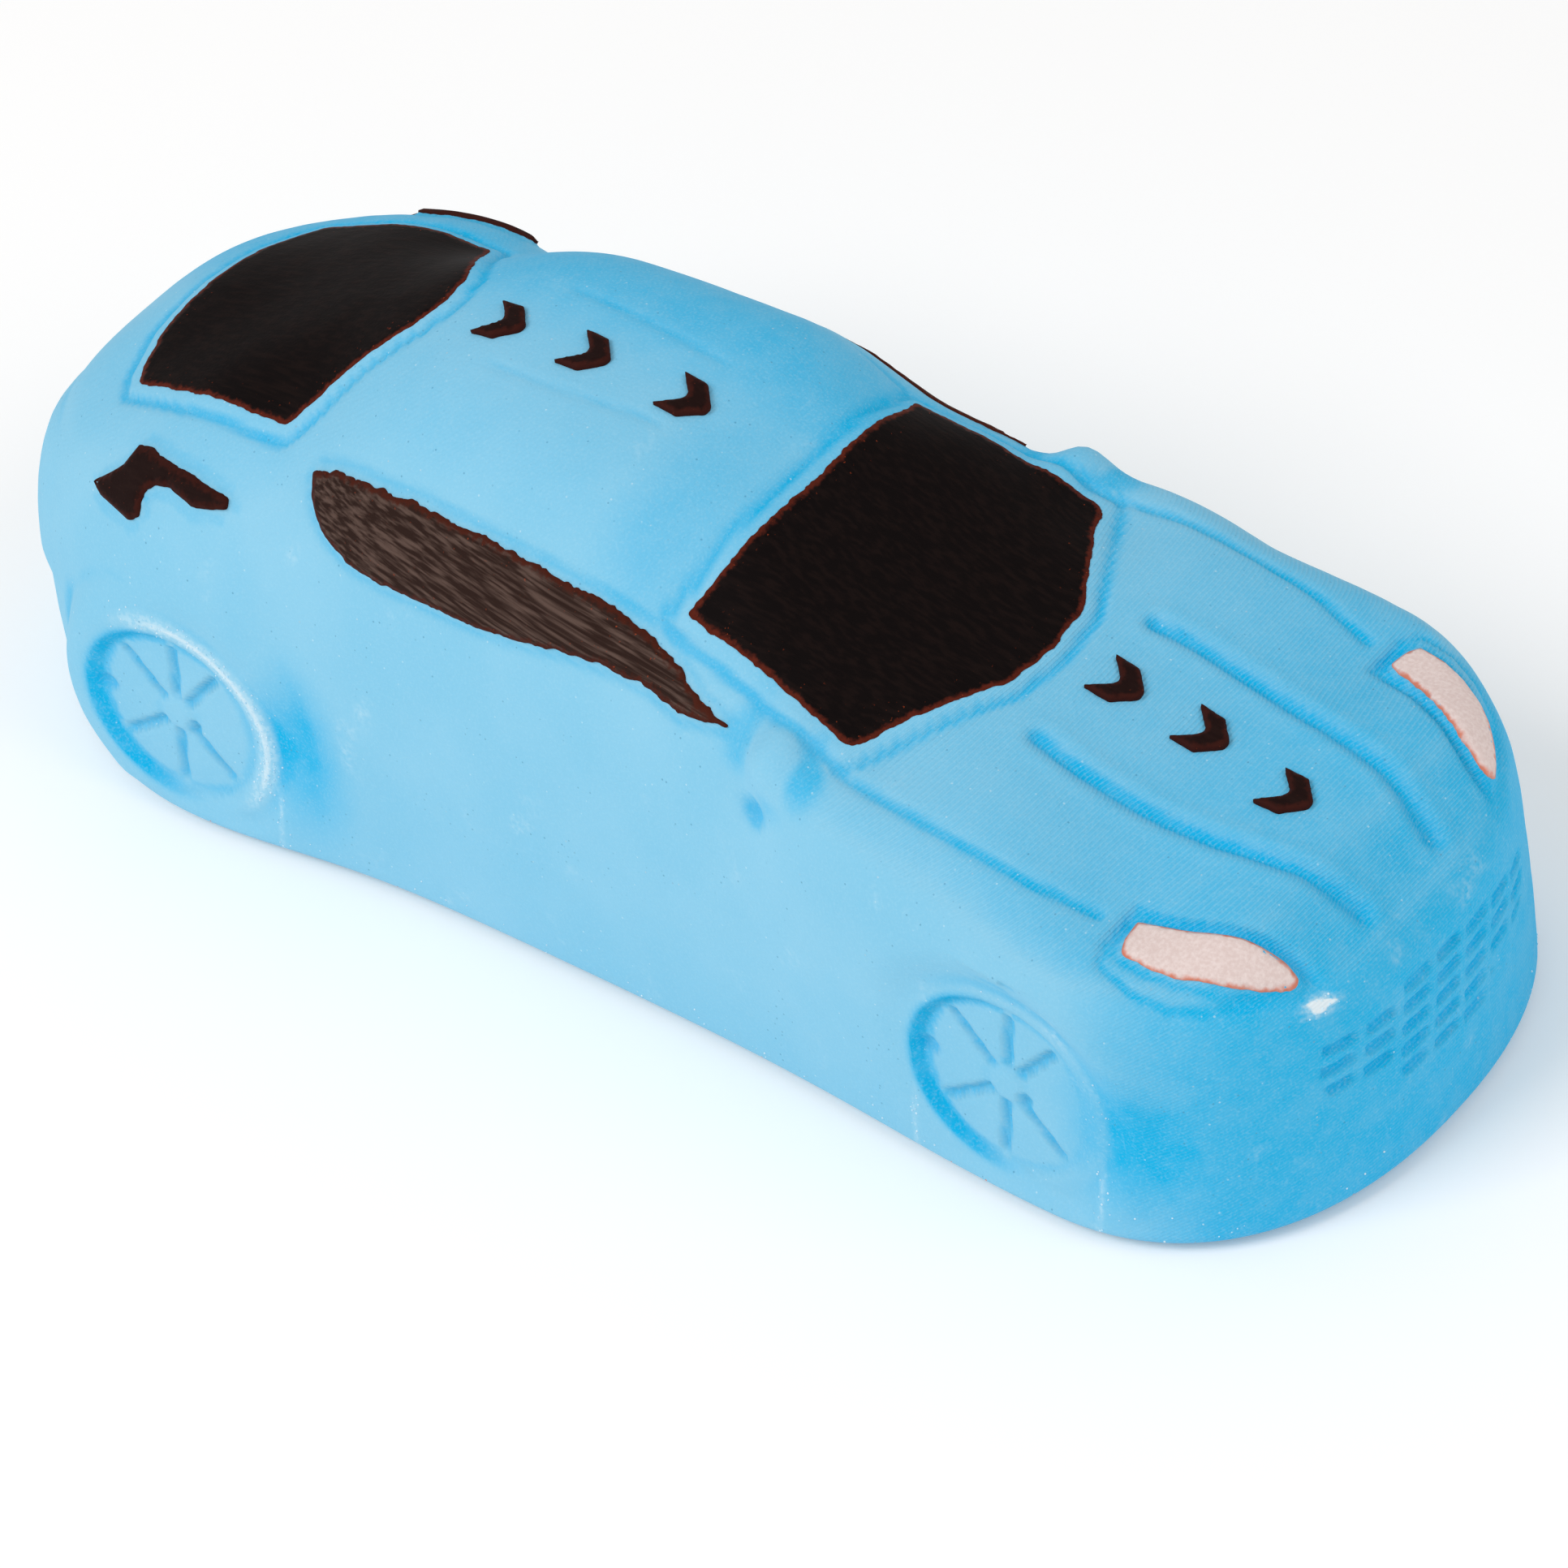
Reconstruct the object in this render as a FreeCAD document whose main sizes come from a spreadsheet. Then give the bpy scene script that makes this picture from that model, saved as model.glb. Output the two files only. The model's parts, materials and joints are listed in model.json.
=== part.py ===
"""Pull back toy car: a moulded body with inlaid glazing over a hidden spring motor.

+Z is up, the nose points to -Y and X runs across the car.  The origin is on the
floor, under the middle of the body.  All sizes are millimetres.
"""
import FreeCAD, Part
import Sketcher
import math
import os

from FreeCAD import Placement, Rotation, Vector

SIZES = {
    # body, seen from above
    "body_length": 140.0,
    "front_width": 51.0,
    "waist_width": 46.6,
    "rear_width": 51.8,
    "nose_round": 21.0,
    "tail_round": 29.0,
    "front_overhang": 25.0,
    "wheelbase": 86.0,
    # body, seen from the side: heights above the rim
    "rim_gap": 1.0,
    "nose_lip_height": 14.0,
    "grille_top_height": 20.0,
    "bonnet_lip_height": 23.2,
    "bonnet_front_height": 27.9,
    "bonnet_rear_height": 29.6,
    "cowl_height": 32.8,
    "screen_top_height": 40.0,
    "roof_front_height": 45.0,
    "roof_height": 45.5,
    "rear_glass_top_height": 43.2,
    "rear_glass_foot_height": 37.8,
    "boot_height": 30.4,
    "tail_lip_height": 19.0,
    "tail_end_height": 14.0,
    # body shell
    "shell_wall": 3.0,
    "inlay_depth": 0.8,
    "relief_height": 0.5,
    "boss_radius": 3.0,
    "boss_spread": 10.0,
    "boss_inset": 12.0,
    # moulded wheels on the flanks
    "relief_wheel_radius": 8.4,
    "relief_wheel_height": 11.5,
    "relief_wheel_depth": 1.1,
    "relief_hub_radius": 1.3,
    "relief_spoke_width": 0.8,
    "relief_spoke_depth": 0.5,
    "wing_lift": 3.4,
    # chassis
    "plate_thick": 1.5,
    "plate_drop": 2.0,
    "plate_clear": 0.3,
    "bearing_offset": 11.5,
    "bearing_thick": 2.5,
    "bearing_length": 6.0,
    "bearing_cap": 2.5,
    # wheels and axles
    "tyre_radius": 8.0,
    "tyre_depth": 1.5,
    "wheel_width": 4.5,
    "wheel_inner_offset": 15.5,
    "hub_radius": 2.4,
    "web_thick": 1.5,
    "wheel_clear": 1.5,
    "axle_radius": 1.0,
    "running_clear": 0.05,
    # gear train
    "gear_module": 0.5,
    "gear_width": 2.0,
    "gear_backlash": 0.08,
    "profile_shift": 0.4,
    "counter_rise": 35.0,
    "barrel_rise": 12.0,
    "arbor_radius": 0.8,
    "gear_clear": 0.4,
    "counter_hub_radius": 2.0,
    # spring barrel
    "barrel_radius": 7.6,
    "barrel_wall": 1.0,
    "barrel_width": 4.2,
    "cover_thick": 0.8,
    "spring_thick": 0.25,
    "spring_pitch": 0.65,
    # motor case
    "case_half_width": 8.0,
    "case_wall": 1.0,
    "case_clear": 0.6,
    "case_screw_radius": 0.8,
    "case_lug_radius": 1.5,
    # screws
    "screw_radius": 1.0,
    "screw_head_radius": 1.9,
    "screw_length": 9.0,
    "foot_screw_length": 2.2,
}
PINION_TEETH = 12
COUNTER_TEETH = 30
BARREL_TEETH = 36
SPRING_TURNS = 7
SPOKES = 8
GRILLE_COLUMNS = 7
GRILLE_ROWS = 5

doc = FreeCAD.newDocument("PullBackCar")
sheet = doc.addObject("Spreadsheet::Sheet", "Sizes")
for row, (alias, size) in enumerate(SIZES.items(), start=1):
    sheet.set(f"A{row}", alias)
    sheet.set(f"B{row}", str(size))
    sheet.setAlias(f"B{row}", alias)
doc.recompute()


def size_of(alias):
    """Value of one cell of the sheet, in millimetres or degrees."""
    return float(sheet.get(alias))


def bind(target, **properties):
    """Tie properties of an object to expressions on the sheet's cells."""
    for name, expression in properties.items():
        target.setExpression(name.replace("_at_", "."), expression)


# ---------------------------------------------------------------- body form

HALF = size_of("body_length") / 2
NOSE_CENTRE = -HALF + size_of("nose_round")
TAIL_CENTRE = HALF - size_of("tail_round")
FRONT_AXLE_Y = -HALF + size_of("front_overhang")
REAR_AXLE_Y = FRONT_AXLE_Y + size_of("wheelbase")
RIM_Z = size_of("rim_gap")
AXLE_Z = size_of("tyre_radius")


def from_nose(distance):
    """Place along Y, measured back from the nose."""
    return -HALF + distance


def from_tail(distance):
    """Place along Y, measured forward from the tail."""
    return HALF - distance


CENTRE_LINE = [
    (from_nose(0.0), size_of("nose_lip_height")),
    (from_nose(0.8), size_of("grille_top_height")),
    (from_nose(3.0), size_of("bonnet_lip_height")),
    (from_nose(9.0), size_of("bonnet_front_height")),
    (from_nose(24.0), size_of("bonnet_rear_height")),
    (from_nose(34.0), size_of("cowl_height")),
    (from_nose(55.0), size_of("screen_top_height")),
    (from_nose(71.0), size_of("roof_front_height")),
    (from_tail(54.0), size_of("roof_height")),
    (from_tail(37.0), size_of("rear_glass_top_height")),
    (from_tail(22.0), size_of("rear_glass_foot_height")),
    (from_tail(9.5), size_of("boot_height")),
    (from_tail(2.5), size_of("tail_lip_height")),
    (from_tail(0.0), size_of("tail_end_height")),
]
# how square each cross-section is: 2 is an ellipse, higher is boxier
SQUARENESS = [
    (from_nose(0.0), 6.5),
    (from_nose(20.0), 6.3),
    (from_nose(38.0), 5.1),
    (from_nose(55.0), 3.0),
    (from_tail(67.0), 3.0),
    (from_tail(43.0), 2.5),
    (from_tail(24.0), 2.5),
    (from_tail(0.0), 3.6),
]


def smooth_through(points, place):
    """Smooth curve through points, read at one place; flat beyond its ends."""
    if place <= points[0][0]:
        return points[0][1]
    if place >= points[-1][0]:
        return points[-1][1]
    index = max(i for i, point in enumerate(points) if point[0] <= place)
    slopes = []
    for i in (index, index + 1):
        low, high = points[max(i - 1, 0)], points[min(i + 1, len(points) - 1)]
        slopes.append((high[1] - low[1]) / (high[0] - low[0]))
    (x0, z0), (x1, z1) = points[index], points[index + 1]
    span = x1 - x0
    t = (place - x0) / span
    return (
        (1 + 2 * t) * (1 - t) ** 2 * z0
        + t * (1 - t) ** 2 * span * slopes[0]
        + t * t * (3 - 2 * t) * z1
        + t * t * (t - 1) * span * slopes[1]
    )


def half_width(y):
    """Half the body's width at the rim between its two rounded ends."""
    waist = size_of("waist_width") / 2
    front = size_of("front_width") / 2 - waist
    rear = size_of("rear_width") / 2 - waist
    swell_front = math.exp(-(((max(y, NOSE_CENTRE) - NOSE_CENTRE) / 22.0) ** 2))
    swell_rear = math.exp(-(((min(y, TAIL_CENTRE) - TAIL_CENTRE) / 15.0) ** 2))
    return waist + front * swell_front + rear * swell_rear


def stations():
    """Places along Y of the body's sections, with the width's share at each."""
    ends = [math.radians(angle) for angle in (86, 80, 71, 60, 47, 32, 16)]
    result = []
    for angle in ends:
        reach = size_of("nose_round") * math.sin(angle) / math.sin(ends[0])
        result.append((NOSE_CENTRE - reach, math.cos(angle)))
    middle = 9
    for step in range(middle):
        result.append((NOSE_CENTRE + (TAIL_CENTRE - NOSE_CENTRE) * step / (middle - 1), 1.0))
    for angle in reversed(ends):
        reach = size_of("tail_round") * math.sin(angle) / math.sin(ends[0])
        result.append((TAIL_CENTRE + reach, math.cos(angle)))
    return result


def arch_points(y, share, grow):
    """Points up one flank, over the top and down the other, grown outward."""
    across = max(half_width(y) * share + grow, 0.4)
    tall = smooth_through(CENTRE_LINE, y) + grow
    power = 2 / smooth_through(SQUARENESS, y)
    at = y
    if y < NOSE_CENTRE:
        at = NOSE_CENTRE - (NOSE_CENTRE - y) * (size_of("nose_round") + grow) / size_of("nose_round")
    if y > TAIL_CENTRE:
        at = TAIL_CENTRE + (y - TAIL_CENTRE) * (size_of("tail_round") + grow) / size_of("tail_round")
    points = []
    for step in range(ARCH_STEPS + 1):
        turn = math.pi * step / ARCH_STEPS
        c, s = math.cos(turn), math.sin(turn)
        x = across * math.copysign(abs(c) ** power, c)
        points.append(Vector(x, at, RIM_Z + tall * abs(s) ** power))
    points[0] = Vector(across, at, RIM_Z)
    points[-1] = Vector(-across, at, RIM_Z)
    return points


def spacing(points):
    """Share of the way along a row of points at which each one lies."""
    reached = [0.0]
    for start, end in zip(points, points[1:]):
        reached.append(reached[-1] + start.distanceToPoint(end))
    return [place / reached[-1] for place in reached]


ARCH_STEPS = 20
ARCH_SPACING = spacing(arch_points(0.0, 1.0, 0.0))


def section(y, share, grow, foot):
    """Closed wire of one cross-section, grown outward, with its foot at height foot."""
    points = arch_points(y, share, grow)
    arch = Part.BSplineCurve()
    arch.interpolate(Points=points, Parameters=ARCH_SPACING)
    right = Vector(points[0].x, points[0].y, foot)
    left = Vector(points[-1].x, points[-1].y, foot)
    corners = [points[-1], left, right, points[0]]
    if foot >= RIM_Z:
        corners = [points[-1], points[0]]
    return Part.Wire([arch.toShape()] + Part.makePolygon(corners).Edges)


def body_form(grow=0.0, foot=None):
    """Solid of the body's outer form, grown outward by grow."""
    foot = RIM_Z if foot is None else foot
    wires = [section(y, share, grow, foot) for y, share in stations()]
    return Part.makeLoft(wires, True, False)



OUTER = body_form()
CAVITY = body_form(-size_of("shell_wall"), foot=0.0)
BED = body_form(-size_of("inlay_depth"), foot=0.0)
RAISED = body_form(size_of("relief_height"))
SKIN = OUTER.cut(BED)
RAISED_SKIN = RAISED.cut(BED)


# ---------------------------------------------------------------- inlay outlines

# half outlines seen from above: (across, along) from the middle line outward;
# three points of a tuple are an arc through its middle one
WINDSCREEN = {"rear": from_nose(58.5), "front": from_nose(43.0), "rear_half": 14.5, "front_half": 16.5}
SCREEN_REAR_BOW = 1.2
SCREEN_FRONT_BOW = 6.8
REAR_GLASS = {"rear": from_tail(17.5), "front": from_tail(38.5), "rear_half": 11.4, "front_half": 12.9}
REAR_GLASS_FRONT_BOW = 6.0
REAR_GLASS_REAR_BOW = 3.0
HEADLAMP = [(16.4, 15.5), (20.4, 14.8), (18.8, 8.5), (13.6, 3.8), (12.2, 4.4), (15.2, 9.5)]
CHEVRON = [(0.0, 0.0), (1.4, 0.3), (2.0, 3.6), (1.2, 3.4), (0.0, 1.6)]
ROOF_CHEVRONS = {"front": from_nose(67.0), "middle": from_nose(77.0), "rear": from_nose(86.5)}
BONNET_CHEVRONS = {"front": from_nose(11.5), "middle": from_nose(19.5), "rear": from_nose(28.0)}
# outlines seen from the side: (along, height above the floor)
SIDE_GLASS_REAR = (from_tail(43.0), 37.0)
SIDE_GLASS_FRONT = (from_nose(52.0), 32.0)
SIDE_GLASS_TOP = (from_nose(78.0), 39.6)
SIDE_GLASS_FOOT = (from_nose(78.0), 32.7)
TAIL_LAMP = [
    (19.2, 28.7), (21.6, 31.2), (24.1, 32.9), (30.2, 33.3), (35.7, 32.7),
    (35.0, 32.0), (27.7, 31.6), (25.7, 30.3), (26.6, 29.4), (25.7, 28.4), (23.3, 27.9),
]
REACH = 60.0


def prism_up(edges):
    """Solid standing on a closed outline in the floor plane."""
    return Part.Face(Part.Wire(edges)).extrude(Vector(0, 0, REACH))


def arc(start, middle, end):
    """Arc edge through three points."""
    return Part.Arc(Vector(*start), Vector(*middle), Vector(*end)).toShape()


def line(start, end):
    """Straight edge between two points."""
    return Part.makeLine(Vector(*start), Vector(*end))


def glass_prism(glass, rear_bow, front_bow):
    """Standing solid over a window with bowed front and rear edges."""
    rear, front = glass["rear"], glass["front"]
    a, b = glass["rear_half"], glass["front_half"]
    return prism_up([
        arc((-a, rear, 0), (0, rear + rear_bow, 0), (a, rear, 0)),
        line((a, rear, 0), (b, front, 0)),
        arc((b, front, 0), (0, front - front_bow, 0), (-b, front, 0)),
        line((-b, front, 0), (-a, rear, 0)),
    ])


def polygon_prism(corners):
    """Standing solid over a polygon in the floor plane."""
    points = [Vector(x, y, 0) for x, y in corners]
    return prism_up(Part.makePolygon(points + points[:1]).Edges)


def side_prism(edges, side):
    """Solid reaching out from the middle plane to one side of the body."""
    return Part.Face(Part.Wire(edges)).extrude(Vector(side * REACH, 0, 0))


def add_shape(label, shape):
    """Put a finished shape into the document under its own label."""
    feature = doc.addObject("Part::Feature", label)
    feature.Shape = shape
    feature.Label = label
    return feature


def side_glass_prism(side):
    """Leaf-shaped side window."""
    rear, front = (0, *SIDE_GLASS_REAR), (0, *SIDE_GLASS_FRONT)
    return side_prism([
        arc(rear, (0, *SIDE_GLASS_TOP), front),
        arc(front, (0, *SIDE_GLASS_FOOT), rear),
    ], side)


def tail_lamp_prism(side):
    """Boomerang tail lamp on the rear haunch."""
    points = [Vector(0, from_tail(along), height) for along, height in TAIL_LAMP]
    return side_prism(Part.makePolygon(points + points[:1]).Edges, side)


def headlamp_prism(side):
    """Swept headlamp on the corner of the bonnet, above the nose's lip."""
    prism = polygon_prism([(side * x, from_nose(y)) for x, y in HEADLAMP])
    prism.translate(Vector(0, 0, size_of("grille_top_height") + RIM_Z))
    return prism


def chevron_prism(tip):
    """Arrowhead pointing forward from tip."""
    right = [(x, tip + y) for x, y in CHEVRON]
    left = [(-x, tip + y) for x, y in reversed(CHEVRON[1:-1])]
    return polygon_prism(right + left)


def make_inlays():
    """All inlaid pieces of the body, by label."""
    sides = {"left": 1, "right": -1}
    inlays = {
        "windscreen": SKIN.common(glass_prism(WINDSCREEN, SCREEN_REAR_BOW, SCREEN_FRONT_BOW)),
        "rear_window": SKIN.common(
            glass_prism(REAR_GLASS, REAR_GLASS_REAR_BOW, REAR_GLASS_FRONT_BOW)
        ),
    }
    for name, side in sides.items():
        inlays[f"side_window_{name}"] = SKIN.common(side_glass_prism(side))
        inlays[f"headlamp_{name}"] = SKIN.common(headlamp_prism(side))
        inlays[f"tail_lamp_{name}"] = SKIN.common(tail_lamp_prism(side))
    for name, tip in ROOF_CHEVRONS.items():
        inlays[f"roof_chevron_{name}"] = RAISED_SKIN.common(chevron_prism(tip))
    for name, tip in BONNET_CHEVRONS.items():
        inlays[f"bonnet_chevron_{name}"] = RAISED_SKIN.common(chevron_prism(tip))
    return {label: largest_solid(shape) for label, shape in inlays.items()}


def largest_solid(shape):
    """The one solid of a boolean's result, without stray slivers."""
    return max(shape.Solids, key=lambda solid: solid.Volume)


# ---------------------------------------------------------------- body shell

MIRROR = {"across": 21.6, "along": from_nose(46.5), "height": 30.6}
MIRROR_RADII = (2.4, 2.6, 2.0)
GRILLE = {"half_span": 12.6, "low": 10.8, "high": 19.2, "bar": 0.9}
BOSS_PLACES = [
    (side * size_of("boss_spread"), along)
    for side in (-1, 1)
    for along in (from_nose(size_of("boss_inset")), from_tail(size_of("boss_inset")))
]
PLATE_LOW = RIM_Z + size_of("plate_drop") - size_of("plate_thick")
PLATE_TOP = RIM_Z + size_of("plate_drop")


def rod(radius, low, high, y, z):
    """Cylinder along X between two places across the car."""
    return Part.makeCylinder(radius, high - low, Vector(low, y, z), Vector(1, 0, 0))


def post(radius, x, y, low, high):
    """Upright cylinder."""
    return Part.makeCylinder(radius, high - low, Vector(x, y, low))


def relief_wheel_cutter(side, y):
    """What is cut from a flank to leave a moulded wheel: dish, hub and spokes."""
    z = size_of("relief_wheel_height")
    face = half_width(y) - size_of("relief_wheel_depth")
    dish = rod(size_of("relief_wheel_radius"), face, face + 10, y, z)
    dish = dish.cut(rod(size_of("relief_hub_radius"), face, face + 10, y, z))
    deep = size_of("relief_spoke_depth")
    wide = size_of("relief_spoke_width")
    inner = size_of("relief_hub_radius") + wide
    outer = size_of("relief_wheel_radius") - wide
    for index in range(SPOKES):
        spoke = Part.makeBox(deep + 1, outer - inner, wide, Vector(face - deep, inner, -wide / 2))
        spoke.rotate(Vector(0, 0, 0), Vector(1, 0, 0), (index + 0.5) * 360 / SPOKES)
        spoke.translate(Vector(0, y, z))
        dish = dish.fuse(spoke)
    if side < 0:
        dish.rotate(Vector(0, y, 0), Vector(0, 0, 1), 180)
    return dish


def grille_cells():
    """Recessed cells of the grille on the nose."""
    bar = GRILLE["bar"]
    wide = (2 * GRILLE["half_span"] - bar * (GRILLE_COLUMNS - 1)) / GRILLE_COLUMNS
    tall = (GRILLE["high"] - GRILLE["low"] - bar * (GRILLE_ROWS - 1)) / GRILLE_ROWS
    cells = []
    for column in range(GRILLE_COLUMNS):
        for row in range(GRILLE_ROWS):
            x = -GRILLE["half_span"] + column * (wide + bar)
            z = GRILLE["low"] + row * (tall + bar)
            cells.append(Part.makeBox(wide, size_of("nose_round"), tall, Vector(x, -HALF, z)))
    return SKIN.common(Part.makeCompound(cells))


def make_body_shell(inlays):
    """Hollow body with bosses, mirrors, moulded wheels, grille and inlay seats."""
    shell = OUTER.cut(CAVITY)
    inside = body_form(-size_of("inlay_depth") - size_of("relief_height"))
    for x, y in BOSS_PLACES:
        boss = post(size_of("boss_radius"), x, y, PLATE_TOP, REACH)
        bore = post(size_of("screw_radius"), x, y, 0, PLATE_TOP + size_of("screw_length"))
        shell = shell.fuse(boss.common(inside)).cut(bore)
    for side in (-1, 1):
        mirror = Part.makeSphere(1.0)
        stretch = FreeCAD.Matrix()
        stretch.scale(*MIRROR_RADII)
        mirror = mirror.transformGeometry(stretch)
        mirror.translate(Vector(side * MIRROR["across"], MIRROR["along"], MIRROR["height"]))
        shell = shell.fuse(mirror.cut(BED))
        for y in (FRONT_AXLE_Y, REAR_AXLE_Y):
            shell = shell.cut(relief_wheel_cutter(side, y))
    shell = shell.cut(grille_cells())
    for inlay in inlays.values():
        shell = shell.cut(inlay)
    return largest_solid(shell)


# ---------------------------------------------------------------- chassis

WHEEL_INNER = size_of("wheel_inner_offset")
WHEEL_OUTER = WHEEL_INNER + size_of("wheel_width")
AXLE_BORE = size_of("axle_radius") + size_of("running_clear")


def make_chassis_plate():
    """Flat base with wheel notches, axle bearings and screw holes."""
    clear = size_of("shell_wall") + size_of("plate_clear")
    slab = Part.makeBox(4 * REACH, 4 * REACH, size_of("plate_thick"),
                        Vector(-2 * REACH, -2 * REACH, PLATE_LOW))
    plate = body_form(-clear, foot=0.0).common(slab)
    notch = size_of("tyre_radius") + size_of("wheel_clear")
    for y in (FRONT_AXLE_Y, REAR_AXLE_Y):
        for side in (-1, 1):
            inner = side * (WHEEL_INNER - size_of("wheel_clear") / 2)
            low = min(inner, side * REACH)
            plate = plate.cut(Part.makeBox(REACH - abs(inner), 2 * notch, REACH,
                                           Vector(low, y - notch, 0)))
            middle = side * size_of("bearing_offset")
            half = size_of("bearing_thick") / 2
            top = AXLE_Z + size_of("axle_radius") + size_of("bearing_cap")
            block = Part.makeBox(2 * half, size_of("bearing_length"), top - PLATE_TOP,
                                 Vector(middle - half, y - size_of("bearing_length") / 2, PLATE_TOP))
            plate = plate.fuse(block)
        plate = plate.cut(rod(AXLE_BORE, -WHEEL_INNER, WHEEL_INNER, y, AXLE_Z))
    for x, y in BOSS_PLACES:
        plate = plate.cut(countersink(x, y))
    for x, y in FOOT_SCREWS:
        plate = plate.cut(post(size_of("case_screw_radius"), x, y, 0, REACH))
    return largest_solid(plate)


def countersink(x, y):
    """Countersunk hole of a chassis screw, and the form of the screw's head."""
    head, shank = size_of("screw_head_radius"), size_of("screw_radius")
    cone = Part.makeCone(head, shank, head - shank, Vector(x, y, PLATE_LOW))
    return cone.fuse(post(shank, x, y, PLATE_LOW, PLATE_TOP))


def make_chassis_screws():
    """Countersunk screws that hold the chassis plate to the bosses."""
    screws = []
    slot = 0.5
    for x, y in BOSS_PLACES:
        end = PLATE_TOP + size_of("screw_length") - 1
        screw = countersink(x, y).fuse(post(size_of("screw_radius"), x, y, PLATE_LOW, end))
        cross = Part.makeBox(2.4, slot, slot, Vector(x - 1.2, y - slot / 2, PLATE_LOW))
        cross = cross.fuse(Part.makeBox(slot, 2.4, slot, Vector(x - slot / 2, y - 1.2, PLATE_LOW)))
        screws.append(largest_solid(screw.cut(cross)))
    return Part.makeCompound(screws)


# ---------------------------------------------------------------- wheels

def profile_body(label, corners):
    """Body of revolution about X from corners given as pairs of expressions."""
    body = doc.addObject("PartDesign::Body", label)
    body.Label = label
    sketch = body.newObject("Sketcher::SketchObject", f"{label}_profile")
    plane = next(f for f in body.Origin.OriginFeatures if f.Role == "XY_Plane")
    sketch.AttachmentSupport = (plane, [""])
    sketch.MapMode = "FlatFace"
    values = [tuple(evaluate(text) for text in corner) for corner in corners]
    for index, start in enumerate(values):
        end = values[(index + 1) % len(values)]
        sketch.addGeometry(Part.LineSegment(Vector(*start, 0), Vector(*end, 0)), False)
    for index in range(len(values)):
        follower = (index + 1) % len(values)
        sketch.addConstraint(Sketcher.Constraint("Coincident", index, 2, follower, 1))
    for index, corner in enumerate(corners):
        for kind, text, value in zip(("DistanceX", "DistanceY"), corner, values[index]):
            number = sketch.addConstraint(Sketcher.Constraint(kind, -1, 1, index, 1, value))
            sketch.setExpression(f"Constraints[{number}]", text)
    doc.recompute()
    spin = body.newObject("PartDesign::Revolution", f"{label}_turned")
    spin.Profile = sketch
    spin.ReferenceAxis = (sketch, ["H_Axis"])
    spin.Angle = 360.0
    body.Tip = spin
    doc.recompute()
    return body


def evaluate(text):
    """Number that an expression on the sheet's cells gives."""
    result = sheet.evalExpression(text)
    return float(getattr(result, "Value", result))


def side_placement(side, inner, y, z):
    """Place of a piece that is turned about X and faces one side of the car."""
    turn = Rotation(Vector(0, 0, 1), 0 if side > 0 else 180)
    return Placement(Vector(side * inner, y, z), turn)


def make_wheels(prefix, y):
    """Hubbed wheels and their rubber tyres on both ends of one axle."""
    rim_out = "Sizes.tyre_radius - Sizes.tyre_depth"
    rim_in = "Sizes.tyre_radius - 2 * Sizes.tyre_depth"
    web_low = "(Sizes.wheel_width - Sizes.web_thick) / 2"
    web_high = "(Sizes.wheel_width + Sizes.web_thick) / 2"
    wide, axle, hub = "Sizes.wheel_width", "Sizes.axle_radius", "Sizes.hub_radius"
    wheel = [
        ("0", axle), (wide, axle), (wide, hub), (web_high, hub), (web_high, rim_in), (wide, rim_in),
        (wide, rim_out), ("0", rim_out), ("0", rim_in), (web_low, rim_in), (web_low, hub), ("0", hub),
    ]
    tread = "0.6"
    tyre = [
        ("0", rim_out), (wide, rim_out), (wide, f"Sizes.tyre_radius - {tread}"),
        (f"Sizes.wheel_width - {tread}", "Sizes.tyre_radius"), (tread, "Sizes.tyre_radius"),
        ("0", f"Sizes.tyre_radius - {tread}"),
    ]
    for name, side in (("left", 1), ("right", -1)):
        for label, corners in ((f"{prefix}_wheel_{name}", wheel), (f"{prefix}_tyre_{name}", tyre)):
            piece = profile_body(label, corners)
            piece.Placement = side_placement(side, WHEEL_INNER, y, AXLE_Z)


def add_rod(label, radius, low, high, y, z):
    """Round bar along X whose radius follows a cell of the sheet."""
    bar = doc.addObject("Part::Cylinder", label)
    bar.Label = label
    bar.Height = high - low
    bind(bar, Radius=f"Sizes.{radius}")
    bar.Placement = Placement(Vector(low, y, z), Rotation(Vector(0, 1, 0), 90))
    return bar


# ---------------------------------------------------------------- gear train

MODULE = size_of("gear_module")
PRESSURE_ANGLE = math.radians(20)
CASE_HALF = size_of("case_half_width")
CASE_INNER = CASE_HALF - size_of("case_wall")


def mesh_place(place, teeth, other, rise):
    """Axis of a gear that meshes with one at place, further forward and higher."""
    reach = MODULE * (teeth + other) / 2
    angle = math.radians(rise)
    return (place[0] - reach * math.cos(angle), place[1] + reach * math.sin(angle))


AXLE_AT = (REAR_AXLE_Y, AXLE_Z)
COUNTER_AT = mesh_place(AXLE_AT, PINION_TEETH, COUNTER_TEETH, size_of("counter_rise"))
BARREL_AT = mesh_place(COUNTER_AT, PINION_TEETH, BARREL_TEETH, size_of("barrel_rise"))
# places across the car of each gear's faces
DRIVE_LOW = 2.2
DRIVE_HIGH = DRIVE_LOW + size_of("gear_width")
BARREL_GEAR_HIGH = -3.2
BARREL_GEAR_LOW = BARREL_GEAR_HIGH - size_of("gear_width")
FACE_OVERLAP = 0.3


def involute(angle):
    """Involute function of an angle."""
    return math.tan(angle) - angle


def tip_radius(teeth, shift):
    """Outer radius of a gear."""
    return MODULE * (teeth / 2 + 1 + shift)


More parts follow.
